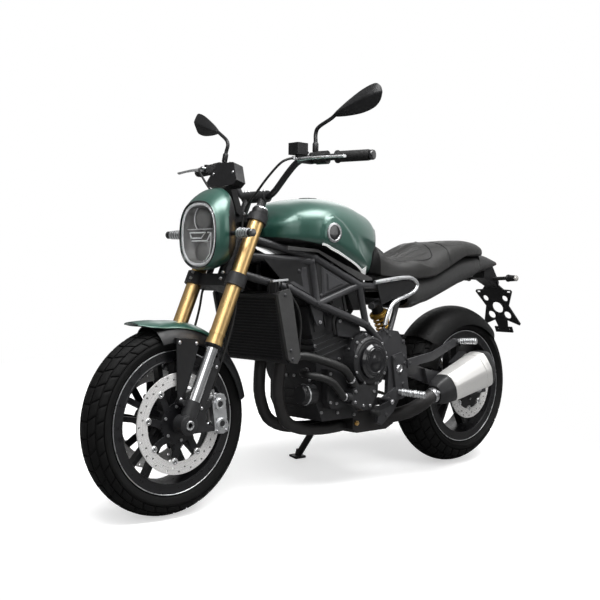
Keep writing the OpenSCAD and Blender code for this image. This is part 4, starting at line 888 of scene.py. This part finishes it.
bit(lathe(head(724, 0, 0), UP, [(0, 9), (13, 9), (15, 7), (15, 0)], 6), STEEL, "steering")
bit(ring(head(727, 0, 0), UP, 17, 3, 2), ALLOY, "steering")
for y in (40, 58):
    for f in (-24, 4):
        on_fork(bolt(head(833.5, y - 9, f), UP, 4.5, 5), STEEL)

# Handlebar, controls and lines
BAR = head(820, 0, -10)
GRIP_OUT = BAR + [-95, 435, 119]
BEND = BAR + [-35.2, 225, 118.4]
d = unit(GRIP_OUT - BEND)
on_fork(ribs(GRIP_OUT - 116 * d, GRIP_OUT - 4 * d, 17.0, 18.2, 22), GRIP)
on_fork(ring(GRIP_OUT - 116 * d, d, 17, 4, 3.4), GRIP)
on_fork(lathe(GRIP_OUT, d, [(15, 1), (16.4, 3), (16.4, 11), (14, 14.6), (0, 15)], 40), GLOSS)
bit(block(BAR + [-10, 204, 141], (4, 0, 0), (0, 7, 0), (0, 0, 6)), ORANGE, "steering")
for p in ((-34, 214, 138), (-46, 196, 134), (-40, 206, 128)):
    on_fork(bolt(BAR + p, unit((-1, 0, 0.8)), 5, 3, "dome"), GREY)
bit(lathe(BAR + [21, 227, 162], (0, 0, 1), [(0, 2.4), (15, 2.4), (17, 1.2), (17, -1)], 40), GLOSS,
    "steering")
PERCH = BAR + [36, 235, 111]
FOOT = head(510, 62, 30)
upper = [PERCH + [0.3, 0, 0], PERCH + [16, 0, 0], PERCH + [44, -22, -14], PERCH + [56, -70, -56],
         PERCH + [60, -124, -106], PERCH + [66, -166, -152], FRONT_C + [26, 58, 70], FRONT_C + [38, 58, 0],
         FOOT + 60 * UP + [4, 0, 0], FOOT + 16 * UP, FOOT]
seat_at = caliper(137, -63, 87)
away = unit(caliper(131, -89, 87) - seat_at)
lower = [head(468, 90, 3), head(454, 90, 3), head(400, 94, -12), head(320, 96, -22), head(240, 96, -24),
         head(160, 94, -26), seat_at + 16 * away, seat_at]
lines = Shape().both(tube(spline(upper, 8), 4, 14)).both(tube(spline(lower, 8), 4, 14, start=(0, 1, 0)))
make("brake_hoses", lines, HOSE, "steering", ("brake_lines",), angle=60)
on_fork(tube([seat_at + 2 * away, seat_at + 20 * away], 5.4, 16), STEEL)
on_fork(tube([PERCH + [1, 0, 0], PERCH + [18, 0, 0]], 5.6, 16), STEEL)
on_fork(bolt(seat_at - 3 * away + [0, 5, 0], Y, 7, 8, "hex"), STEEL)

# Mirrors
MIRROR = [[0, 6, 6], [0.06, 12, 9], [0.3, 26, 14], [0.6, 38, 15], [0.85, 38, 13], [0.96, 24, 9], [1, 8, 4]]
m_in, m_tip = BAR + [-73, 300, 258], np.array([BAR[0] - 102, 474, 1344])
m_foot, m_elbow = BAR + [-50, 234, 140.6], BAR + [-59, 226, 210]
a = 2 * np.pi * np.arange(48) / 48
heads = Shape()
rings = []
for t, hh, th in spline(MIRROR, 6):
    ridge = np.where(np.cos(a) > 0, 1.18 * th * (1 - np.abs(np.sin(a)) ** 1.3), th * np.cos(a))
    rings.append(m_in + t * (m_tip - m_in) + np.c_[ridge, 0 * a, hh * np.sin(a)])
heads.both(grid(rings))
stem = spline([m_foot, (m_foot + m_elbow) / 2, m_elbow - [0, 0, 8], m_elbow + [-2, 12, 12],
               m_in - [0, 14, 10], m_in + [0, 14, 8]], 6)
heads.both(tube(stem, np.linspace(7, 6, len(stem)), 16, start=(1, 0, 0)))
heads.both(lathe(m_foot, m_elbow - m_foot, [(0, -1), (9, -1), (10, 1), (10, 26), (8.5, 30), (7, 31)], 32))
make("mirror_bodies", heads, BLACK, "steering", ("mirrors",), angle=32)
rows = []
for t, hh, th in spline(MIRROR, 6):
    if 0.1 < t < 0.965:
        v = np.linspace(-0.86, 0.86, 13)
        rows.append(m_in + t * (m_tip - m_in) + np.c_[-th * np.sqrt(1 - v * v) - 0.9, 0 * v, hh * v])
make("mirror_glass", Shape().both(grid(rows, wrap=False)), GLASS, "steering", angle=80)

# Instrument and indicators
# The instrument's middle, and the directions out of its face and up it
i_at = FRONT_C + [47, 0, 222]
i_x, i_z = tilted(15)
face_out = [(-54, -33), (54, -33), (66, -22), (42, 29), (36, 33), (-36, 33), (-42, 29), (-66, -22)]
make("instrument_screen", plate(face_out, -21.4, -19.6, i_at, (Y, i_z, i_x)), SCREEN, "steering",
     bevel=0.6)
for y in (-50, 50):
    bit(bolt(i_at + y * Y + 20 * i_x + 4 * i_z, i_x, 5, 3, "dome"), STEEL, "steering")
u = unit((6, 55, 0))
for k in range(5):
    on_fork(ring(FRONT_C + [116.5, 150, 28] + u * 12.5 * k, u, 15.4 - 0.6 * k, 4.4, 0.9), ALLOY)
    on_fork(ring(FRONT_C + [116.5, 150, 28] + u * (12.5 * k + 6.2), u, 14.8 - 0.6 * k, 2.4, 0.5), GLOSS)
on_fork(lathe(FRONT_C + [124, 221, 28], (6, 55, 0), [(12, -8), (12.8, 0), (10, 3.5), (0, 4.5)], 32), SMOKED)
on_sides(lathe((-262, 145, 760), Y, [(12, -8), (12.8, -1), (11, 3), (6, 4.6), (0, 5)], 32), AMBER)
on_sides(ring((-262, 104, 760), Y, 14.6, 3, 0.8), GLOSS)
on_sides(tube([(-262, 31, 757), (-262, 60, 758), (-262, 98, 760)], 8.0, 16), HOSE)

# Engine
NEAR_BOLTS = {117.5: ((913.5, 520.6),), 118: ((793, 470.5), (879, 286), (798, 279), (712, 265)),
              150: ((866.7, 323.8), (836, 318), (868, 424)),
              180: ((729, 305), (694, 302), (674, 352), (770, 358), (772, 320)),
              166: ((752, 530), (706, 556), (646, 526), (600, 486), (604, 412), (640, 378))}
for y, spots in NEAR_BOLTS.items():
    for x, z in spots:
        bit(bolt((x, y, z), Y, 5.5, 5), STEEL)
for p, n in (((760, 139, 505), (0.87, 0, 0.5)), ((905, 88, 399), (1, 0, 0)), ((905, -30, 408), (1, 0, 0)),
             ((905, 9, 409.5), (1, 0, 0)), ((905, 53, 411), (1, 0, 0))):
    bit(bolt(p, n, 5.5, 5), STEEL)
for k in range(9):
    bit(bolt(wheel_at(CLUTCH, 84, 40 * k + 14, 174.2), Y, 4.6, 4.5), STEEL)
for k in range(8):
    bit(bolt(wheel_at(GENERATOR, 83, 45 * k + 10, -170), -Y, 5.2, 5), STEEL)
    bit(bolt(wheel_at(GENERATOR, 60, 45 * k + 10, -182), -Y, 3.6, 3), STEEL)
bit(lathe(CLUTCH + 198 * Y, Y, [(0, 1.4), (18, 1.2), (20, 0.4), (40, 0.4), (42, 2), (47, 2), (49, 0.2),
                                (49, -2)], 72), GLOSS)
bit(lathe(CLUTCH + 178 * Y, Y, [(66, -0.5), (67, 1.4), (72, 1.4), (73, -0.5)], 72), CAST)
bit(lathe(GENERATOR - 182 * Y, -Y, [(0, 1), (30, 1), (33, 2.4), (44, 2.4), (46, 0), (46, -2)], 72), CAST)
OIL_FILTER = np.array([944.0, 98, 352])
bit(lathe(OIL_FILTER, (1, 0, 0), [(36, -3), (37.4, -2), (37.4, 2), (36, 3)], 64), ALLOY)
for k in range(14):
    t = 2 * pi * k / 14
    out, along = np.array([0, cos(t), sin(t)]), np.array([0, -sin(t), cos(t)])
    bit(block(OIL_FILTER + [12, 0, 0] + 34.6 * out, (5, 0, 0), 2.4 * out, 2.2 * along), CAST)
# Directions along and up the leaning cylinders, and their foot
h_x, h_z = tilted(-15)
H0 = np.array([815.0, 0, 480])
for k in range(5):
    for s in (-1, 1):
        bit(bolt(H0 + (-72 + 36 * k) * h_x + 240 * h_z + s * 98 * Y, h_z, 5, 4), STEEL)
for k in (-60, 0, 60):
    on_sides(bolt(H0 + k * h_x + 158 * h_z + 124 * Y, Y, 6, 4, "dome"), FRAME)
for k in range(6):
    on_sides(block(H0 + (-66 + 26 * k) * h_x + 223 * h_z + 112 * Y, 3 * h_x, 1.6 * Y, 13 * h_z), CAST)
for k in range(5):
    on_sides(block((640 + 14 * k, 118, 292), (2.2, 0, 0), (0, 2.2, 0), (0, 0, 13)), CAST)
for z0 in (300, 330, 360):
    bit(block((905.5, 0, z0), (2, 0, 0), (0, 60, 0), (0, 0, 2.2)), CAST)

COVER = [(811, 626), (734, 616), (697, 578), (700, 537), (748, 543), (812, 551), (822, 590)]
make("coil_cover", plate(COVER, 123, 133), FRAME, "chassis", bevel=3)
TAB = [(962, 664), (900, 660), (900, 600), (914, 592), (930, 594), (948, 630)]
make("frame_tabs", Shape().both(plate(TAB, 136, 144)), FRAME, "chassis", bevel=1.5)
bit(bolt((806, 133, 606), Y, 7, 4), STEEL)
on_sides(bolt((915, 144, 604), Y, 6, 4), STEEL)
for k in range(4):
    on_sides(block(H0 + (20 + 22 * k) * h_z + 119.5 * Y, 86 * h_x, 3.2 * Y, 2.4 * h_z), CAST)
for k in (-84, -30, 24, 78):
    on_sides(block(H0 + k * h_x + 158 * h_z + 125.5 * Y, 3 * h_x, 2.4 * Y, 44 * h_z), CAST)
bit(tube(spline([(1080, 152, 738), (1066, 156, 701), (1032, 156, 655), (1016, 154, 600), (1018, 150, 540),
                 (1008, 140, 500)], 8), 4.2, 12), HOSE)
bit(tube(spline([(860, 118, 690), (842, 140, 640), (850, 144, 600), (838, 140, 560)], 8), 6, 14), HOSE)


def raised(corners, k0, k1, h):
    """A plate with sloping edges on a frame panel."""
    c = np.asarray(corners, float)
    n = unit(np.cross(c[1] - c[0], c[2] - c[0]))
    n = n * np.sign(n[1])
    mid = c.mean(0)
    return grid([mid + k * (c - mid) + o * n for k, o in ((k0, 1.5), (k0, 4), (k1, h), (0.02, h))],
                caps=(False, True))


strut, node_low, low_front = (957, 140, 812), (936, 150, 668), (1040, 120, 722)
panels = Shape().both(raised([(939, 140, 825), (729, 150, 732), node_low], 0.66, 0.56, 9))
panels.both(raised([(939, 140, 825), (729, 150, 732), node_low], 0.42, 0.34, 15))
panels.both(raised([strut, node_low, low_front, head(612, 60, -60)], 0.70, 0.62, 8))
make("panel_faces", panels, FRAME, "chassis", angle=20, bevel=0.8)
on_sides(bolt((917, 150.5, 696), Y, 7, 4, "dome"), FRAME)
on_sides(bolt((1004, 131, 780), unit((0.35, 0.93, 0)), 6, 4, "dome"), FRAME)
on_sides(block((1126, 163, 748), (34, 0, -2.4), (0, 8, 0), (0, 0, 3)), ALLOY)
for k in range(3):
    on_sides(tube([(1112 + 14 * k, 158, 745), (1108 + 14 * k, 156, 712)], 3, 10), HOSE)

# Cooling
# Directions of the pump's two spigots, their ends, and the ends of the radiator's spigot
up_d, side_d = unit((28, 4, 32)), unit((34, 2, 6))
pump_a, pump_b = np.array([774, 166, 392.0]), np.array([806, 166, 340.0])
hose_a, hose_b = np.array([1050, 116, 508.0]), np.array([1018, 118, 494.0])
hd = unit(hose_b - hose_a)
one = [hose_b + 0.4 * hd, hose_b + 12 * hd, (968, 136, 488), (917, 154, 474), (866, 172, 456),
       (822, 176, 436), pump_a + 16 * up_d, pump_a]
two = [(905.4, 76, 428), (920, 76, 428), (944, 92, 426), (946, 128, 422), (918, 158, 414), (880, 172, 396),
       (846, 172, 366), pump_b + 14 * side_d, pump_b]
hoses = Shape().add(tube(spline(one, 8), 15, 24)).add(tube(spline(two, 8), 13, 24))
make("water_hoses", hoses, HOSE, "chassis", ("coolant_hoses",), angle=60)
for p, n, r in ((hose_b + 8 * hd, hd, 15), (pump_a + 8 * up_d, up_d, 15.4),
                (pump_b + 7 * side_d, side_d, 13.4), ((913, 76, 428), (1, 0, 0), 13)):
    bit(ring(p, n, r, 3.5, 1.0), STEEL)
# Directions ahead of and up the radiator, and its middle
rx, rz = tilted(-11)
R0 = np.array([1083.0, 0, 590])
core = Shape()
for k in range(-10, 11):
    core.add(block(R0 + 18.8 * rx + 10.4 * k * rz, 1.0 * rx, 140 * Y, 1.6 * rz))
for k in range(-34, 35):
    core.add(block(R0 + 18.3 * rx + 4.1 * k * Y, 0.7 * rx, 0.5 * unit(Y + 0.2 * rz), 106 * rz))
make("radiator_core", core, FINS, "chassis")
rim = Shape()
for s in (-1, 1):
    rim.add(block(R0 + 18 * rx + s * 149 * Y, 3.4 * rx, 9 * Y, 117 * rz))
    rim.add(block(R0 + 18 * rx + s * 112 * rz, 3.2 * rx, 157 * Y, 5 * rz))
make("radiator_rim", rim, BLACK, "chassis", bevel=1.5)
for p in ((1074.8, 515.6), (1066, 486), (1104, 700)):
    on_sides(bolt((p[0], 170, p[1]), Y, 6, 3.5, "dome"), FRAME)

# Frame, footrests and exhaust
for p in ((463.8, 142, 463.6), (470, 142, 520), (560, 142, 556), (560, 142, 250), (478.8, 151, 361.6),
          (560, 151, 312), (470, 151, 440), (530, 151, 462), (589, 151, 571), (940, 164, 668),
          (690, 163, 590), (150, 149, 508), (436, 149, 436)):
    on_sides(bolt(p, Y, 6.5, 4.5, "hex"), FRAME)
on_sides(bolt((590, 196, 308), Y, 7, 4, "hex"), STEEL)
on_sides(lathe((500, 150, 420), Y, [(0, 3), (9, 3), (11, 5), (15, 5), (17, 3), (17, -1)], 6), STEEL)
for a, b, r0, r1, k in (((497, 160, 333.4), (470, 250, 328), 10.4, 13.4, 9),
                        ((138, 154, 508.3), (120, 222, 512), 10.3, 12.6, 8)):
    on_sides(ribs(a, b, r0, r1, k, 24), ALLOY)
on_sides(ring((482, 212, 330.4), unit((-30, 99, -6)), 11, 3, 3), STEEL)
on_sides(ribs((698, 198, 279), (698, 229, 279), 8.2, 10.0, 6, 24), GRIP)
bit(lathe((675, 96, 227), Y, [(0, 12), (5, 12), (6, 11), (6, 6), (10, 6), (10, 0)], 6), GOLD)
# The silencer's front and rear ends
sa, sb = np.array([352, 200, 318.0]), np.array([0, 204, 417.0])
sd = unit(sb - sa)
bit(ring(sa - 14 * sd, sd, 27, 9, 1.6), STEEL)
bit(bolt(sa - 14 * sd + [0, 26, 14], Y, 5, 10, "hex"), STEEL)
for s in (-1, 1):
    bit(lathe((966, 52 * s, 561), unit((22, 0, -12)), [(20, -2), (31, -2), (31, 6), (27, 9), (21, 9)], 40),
        CAST)
    for k in (-1, 1):
        bit(bolt((974, 52 * s + 26 * k, 557), unit((22, 0, -12)), 4.5, 7, "hex"), STEEL)
bit(lathe((424, 40, 484), unit((96, 0, 184)), [(30, 146), (35, 147), (36, 151), (36, 159), (33, 162),
                                               (22, 163)], 48), SPRING)
bit(lathe((424, 40, 484), unit((96, 0, 184)), [(30, 33), (35, 31), (35, 23), (30, 20)], 48), SPRING)

# Silencer: pressed skin with a raised band, and dark end pieces
su = unit(np.array([0, 0, 1.0]) - sd[2] * sd)
sw = np.cross(su, sd)
EDGE = [[0.18, 1], [0.52, 0.96], [0.72, 0.82], [0.88, 0.5], [1, 0.12], [0.98, -0.1], [0.86, -0.55],
        [0.7, -0.84], [0.46, -0.97], [0.16, -1]]
edge_fine = np.vstack([spline(EDGE[:5], 5), spline(EDGE[5:], 5)])
loop = np.vstack([edge_fine[::-1], edge_fine * [-1, 1]])


def can(rows):
    """Sections of the silencer. A row is its place, half width, half height and lean."""
    wide, tall = loop.T
    out = []
    for along, half, high, lean in rows:
        back = np.outer(along + 0.3 - lean * tall, sd)
        out.append(sa + back + np.outer(half * wide, sw) + np.outer(high * tall, su))
    return out


CONE = [[0, 32, 34, 0], [12, 38, 44, 0], [40, 44, 52, 4], [78, 47.4, 57, 10], [78.5, 46, 55.6, 10]]
SKIN = [[76, 47.0, 56.6, 10], [78.2, 48.6, 58.4, 10], [96, 49.4, 60.4, 14], [150, 51.8, 64.2, 14],
        [210, 54.2, 68.4, 14], [258, 56, 71.8, 14], [262, 56.2, 72.2, 14], [264, 58, 74.4, 14],
        [274, 58.6, 75.6, 14], [276, 57.4, 74, 14], [296, 57.8, 75.4, 11], [298, 56, 73, 11]]
MOUTH = [[296, 56.4, 74, 11], [299, 58.2, 76, 11], [312, 56, 73, 8], [330, 50, 66, 4], [344, 38, 50, 0],
         [345, 33, 44, 0], [338, 30, 40, 0], [318, 28, 38, 0]]
make("silencer_skin", grid(can(SKIN), caps=(False, False)), BRUSHED, "chassis", ("silencer",),
     angle=34)
make("silencer_ends", Shape().add(grid(can(CONE))).add(grid(can(MOUTH))), CAST, "chassis",
     angle=34)
bit(lathe(sa + 322 * sd, sd, [(0, 2), (12, 2), (14, 12), (17, 12), (17, 0)], 40), STEEL)
for t, q in ((60, 0.1), (305, 0.1), (305, -0.7)):
    row = can([[t, 46 if t < 100 else 57.4, 55 if t < 100 else 75, 6]])[0]
    k = int(np.argmin(np.abs(loop[:, 1] - q) - (loop[:, 0] > 0) * 10))
    bit(bolt(row[k], sw if row[k] @ sw > sa @ sw else -sw, 4.5, 3, "dome"), STEEL)

# Chain of side plates and rollers
CHAIN_Y, CHAIN_PITCH, REAR_R, FRONT_R = -104, 15.875, 106, 42
REAR_CENTRE, FRONT_CENTRE = np.array([0.0, 315]), np.array([600.0, 415])


def arc(centre, r, a0, a1, n):
    """Points round a sprocket, in x and z."""
    return [centre + r * np.array([cos(t), sin(t)]) for t in np.linspace(a0, a1, n)]


v = FRONT_CENTRE - REAR_CENTRE
ang, b = atan2(v[1], v[0]), asin((REAR_R - FRONT_R) / np.linalg.norm(v))
loop_c = arc(REAR_CENTRE, REAR_R, ang + pi / 2 - b, ang + 1.5 * pi + b, 60)
loop_c += arc(FRONT_CENTRE, FRONT_R, ang - pi / 2 + b, ang + pi / 2 - b, 40)
loop_c = np.array(loop_c + loop_c[:1])
gone = np.r_[0, np.cumsum(np.linalg.norm(np.diff(loop_c, axis=0), axis=1))]
count = 2 * int(round(gone[-1] / CHAIN_PITCH / 2))
shares = np.arange(count) * gone[-1] / count
pins = np.c_[np.interp(shares, gone, loop_c[:, 0]), np.interp(shares, gone, loop_c[:, 1])]
ROLLER = [(0, -8.4), (2.6, -8.4), (2.6, -4), (5, -3.9)]
links, rolls = Shape(), Shape()
for k in range(count):
    p, q = pins[k], pins[(k + 1) % count]
    t = unit(q - p)
    n = np.array([-t[1], t[0]])
    out = []
    for end, way in ((p, 1), (q, -1)):
        out += [end + 6.4 * way * (cos(w) * n - sin(w) * t) for w in np.linspace(0, pi, 6)]
        out.append((p + q) / 2 - 4.6 * way * n)
    y0 = 6.6 if k % 2 else 4.6
    for s in (-1, 1):
        links.add(plate(out, CHAIN_Y + s * y0 - 0.9, CHAIN_Y + s * y0 + 0.9))
    rolls.add(lathe((p[0], CHAIN_Y, p[1]), Y, ROLLER + [(r, -h) for r, h in ROLLER[::-1]], 10))
make("chain_links", links, CHAIN, "chassis", ("chain",))
make("chain_rollers", rolls, STEEL, "chassis")

# Front mudguard's painted cap
CAP = [[128, 2.3, 34], [116, 2.3, 40], [104, 2.3, 42], [92, 2.3, 42], [84, 5, 42], [78, 12, 40],
       [72, 20, 34], [67, 28, 22]]
rings = []
for deg, up_by, half in spline(CAP, 6):
    w = np.linspace(1, -1, 33)
    part = []
    for u, extra in [(q, 4) for q in w] + [(q, 0) for q in w[::-1]]:
        f, q = radians(half * u), 75 + up_by + extra - (1.2 if abs(u) > 0.99 else 0) * (extra > 0)
        r = 238 + q * cos(f)
        part.append(wheel_at(FRONT_HUB, r, deg, q * sin(f)))
    rings.append(part)
make("mudguard_skin", grid(rings), GREEN, "steering", ("mudguard_cap",), angle=50)

# Plate holder and tail
# The plate holder's middle, and the directions out of it and up it
po = np.array([-338, 0, 631.0])
p_x, p_z = tilted(-26.6)
p_n = -p_x
for z in (66, -66):
    on_sides(bolt(po + 66 * Y + z * p_z + 3 * p_n, p_n, 5, 3, "dome"), STEEL)
bit(block(po + 112 * p_z + 7 * p_n, 4 * p_n, 26 * Y, 7 * p_z), GLOSS)
for k in range(9):
    bit(block((-296.6, -14 + 3.5 * k, 822), (0.8, 0, 0), (0, 0.9, 0), (0, 0, 5)), RED)

for (mat, body), s in bits.items():
    kind = mat.name.split(".")[0]
    make(f"{kind}_on_{body}", s, mat, body)

# Stage, light and camera


def cleared(owner):
    """The makers of nodes and of links in an emptied node tree."""
    owner.use_nodes = True
    owner.node_tree.nodes.clear()
    return tools(owner.node_tree)


def span(new, low, high, out_low=0.0, out_high=1.0):
    """A node that steps smoothly from one value to another."""
    node = new("MapRange", interpolation_type="SMOOTHSTEP")
    put(node, {"From Min": low, "From Max": high, "To Min": out_low, "To Max": out_high})
    return node


def stage_plane():
    """A white floor that keeps the shadow near the machine and runs out to plain white."""
    me = bpy.data.meshes.new("floor")
    me.from_pydata([(-30, -30, 0), (30, -30, 0), (30, 30, 0), (-30, 30, 0)], [], [(0, 1, 2, 3)])
    o = bpy.data.objects.new("floor", me)
    bpy.context.scene.collection.objects.link(o)
    m = bpy.data.materials.new("floor_white")
    new, link = cleared(m)
    out, add, mix, path, coord = (new(k) for k in ("OutputMaterial", "AddShader", "MixShader", "LightPath",
                                                   "TexCoord"))
    diff, glow, white = new("BsdfDiffuse"), new("Emission"), new("Emission")
    tone = new("Mix", data_type="RGBA")
    put(tone, {"A": (0.22, 0.22, 0.22, 1), "B": (0.72, 0.72, 0.72, 1)})
    half, seen = (new("Math", operation="MULTIPLY") for _ in range(2))
    put(half, {1: 0.5})
    long, far = new("VectorMath", operation="LENGTH"), span(new, 0.75, 1.7)
    camera_ray = (path, "Is Camera Ray")
    link(*camera_ray, tone, "Factor")
    link(tone, "Result", diff, "Color")
    link(*camera_ray, half, 0)
    link(half, 0, glow, "Strength")
    link(coord, "Object", long, 0)
    link(long, "Value", far, "Value")
    link(far, "Result", seen, 0)
    link(*camera_ray, seen, 1)
    link(diff, 0, add, 0)
    link(glow, 0, add, 1)
    link(seen, 0, mix, "Fac")
    link(add, 0, mix, 1)
    link(white, 0, mix, 2)
    link(mix, 0, out, "Surface")
    me.materials.append(m)


def world_light():
    """Soft light from above and from behind the machine. The camera itself sees plain white."""
    w = bpy.data.worlds.new("studio")
    bpy.context.scene.world = w
    new, link = cleared(w)
    out, mix, coord, axis, path = (new(k) for k in ("OutputWorld", "MixShader", "TexCoord", "SeparateXYZ",
                                                    "LightPath"))
    soft, white = new("Background"), new("Background")
    put(soft, {"Color": (1, 1, 1, 1)})
    put(white, {"Color": (1, 1, 1, 1), "Strength": 1.0})
    rise, rear = span(new, 0.0, 0.9, 0.20, 0.40), span(new, 0.70, 0.96, 0.0, 0.55)
    toward, both = new("VectorMath", operation="DOT_PRODUCT"), new("Math", operation="ADD")
    put(toward, {1: (-0.95, -0.28, 0.14)})
    link(coord, "Generated", axis, 0)
    link(axis, "Z", rise, "Value")
    link(coord, "Generated", toward, 0)
    link(toward, "Value", rear, "Value")
    link(rise, "Result", both, 0)
    link(rear, "Result", both, 1)
    link(both, 0, soft, "Strength")
    link(path, "Is Camera Ray", mix, "Fac")
    link(soft, 0, mix, 1)
    link(white, 0, mix, 2)
    link(mix, 0, out, "Surface")


def area(name, at, to, size, power_w, size_y):
    """A lamp of the given size and power, turned to a point."""
    d = bpy.data.lights.new(name, "AREA")
    d.shape, d.energy, d.size, d.size_y = "RECTANGLE", power_w, size, size_y
    o = bpy.data.objects.new(name, d)
    o.location = at
    o.rotation_mode = "QUATERNION"
    o.rotation_quaternion = (Vector(to) - Vector(at)).to_track_quat("-Z", "Y")
    bpy.context.scene.collection.objects.link(o)


stage_plane()
world_light()
area("top_box", (0.5, 0.7, 3.1), (0.4, 0.2, 0.5), 4.2, 210, 1.3)
area("front_box", (3.2, 2.6, 2.6), (0.2, 0, 0.6), 2.6, 32, 2.0)
area("side_box", (-1.8, 3.4, 2.4), (-0.2, 0, 0.6), 2.2, 26, 1.8)
area("back_box", (-2.6, -2.8, 2.2), (0, 0, 0.7), 1.8, 12, 1.8)

cam_data = bpy.data.cameras.new("camera")
cam_data.sensor_width, cam_data.lens = 36, 59.73
cam_data.clip_end = 100
cam = bpy.data.objects.new("camera", cam_data)
bpy.context.scene.collection.objects.link(cam)
# Axes and place of the camera in the bike's frame, as fitted to the photograph
CAMERA_AXES = ((-0.72189259, 0.6919176, 0.01100569), (-0.01132946, -0.0277192, 0.99955154),
               (-0.69191237, -0.72144417, -0.02784934))
CAMERA_AT = (3333.73, 2565.39, 775.52)
right, up, ahead = (turn(v)[0] for v in CAMERA_AXES)
at = place(CAMERA_AT)[0]
cam.matrix_world = Matrix([[right[i], up[i], -ahead[i], at[i]] for i in range(3)] + [[0, 0, 0, 1]])
bpy.context.scene.camera = cam
bpy.context.scene.view_settings.view_transform = "Standard"
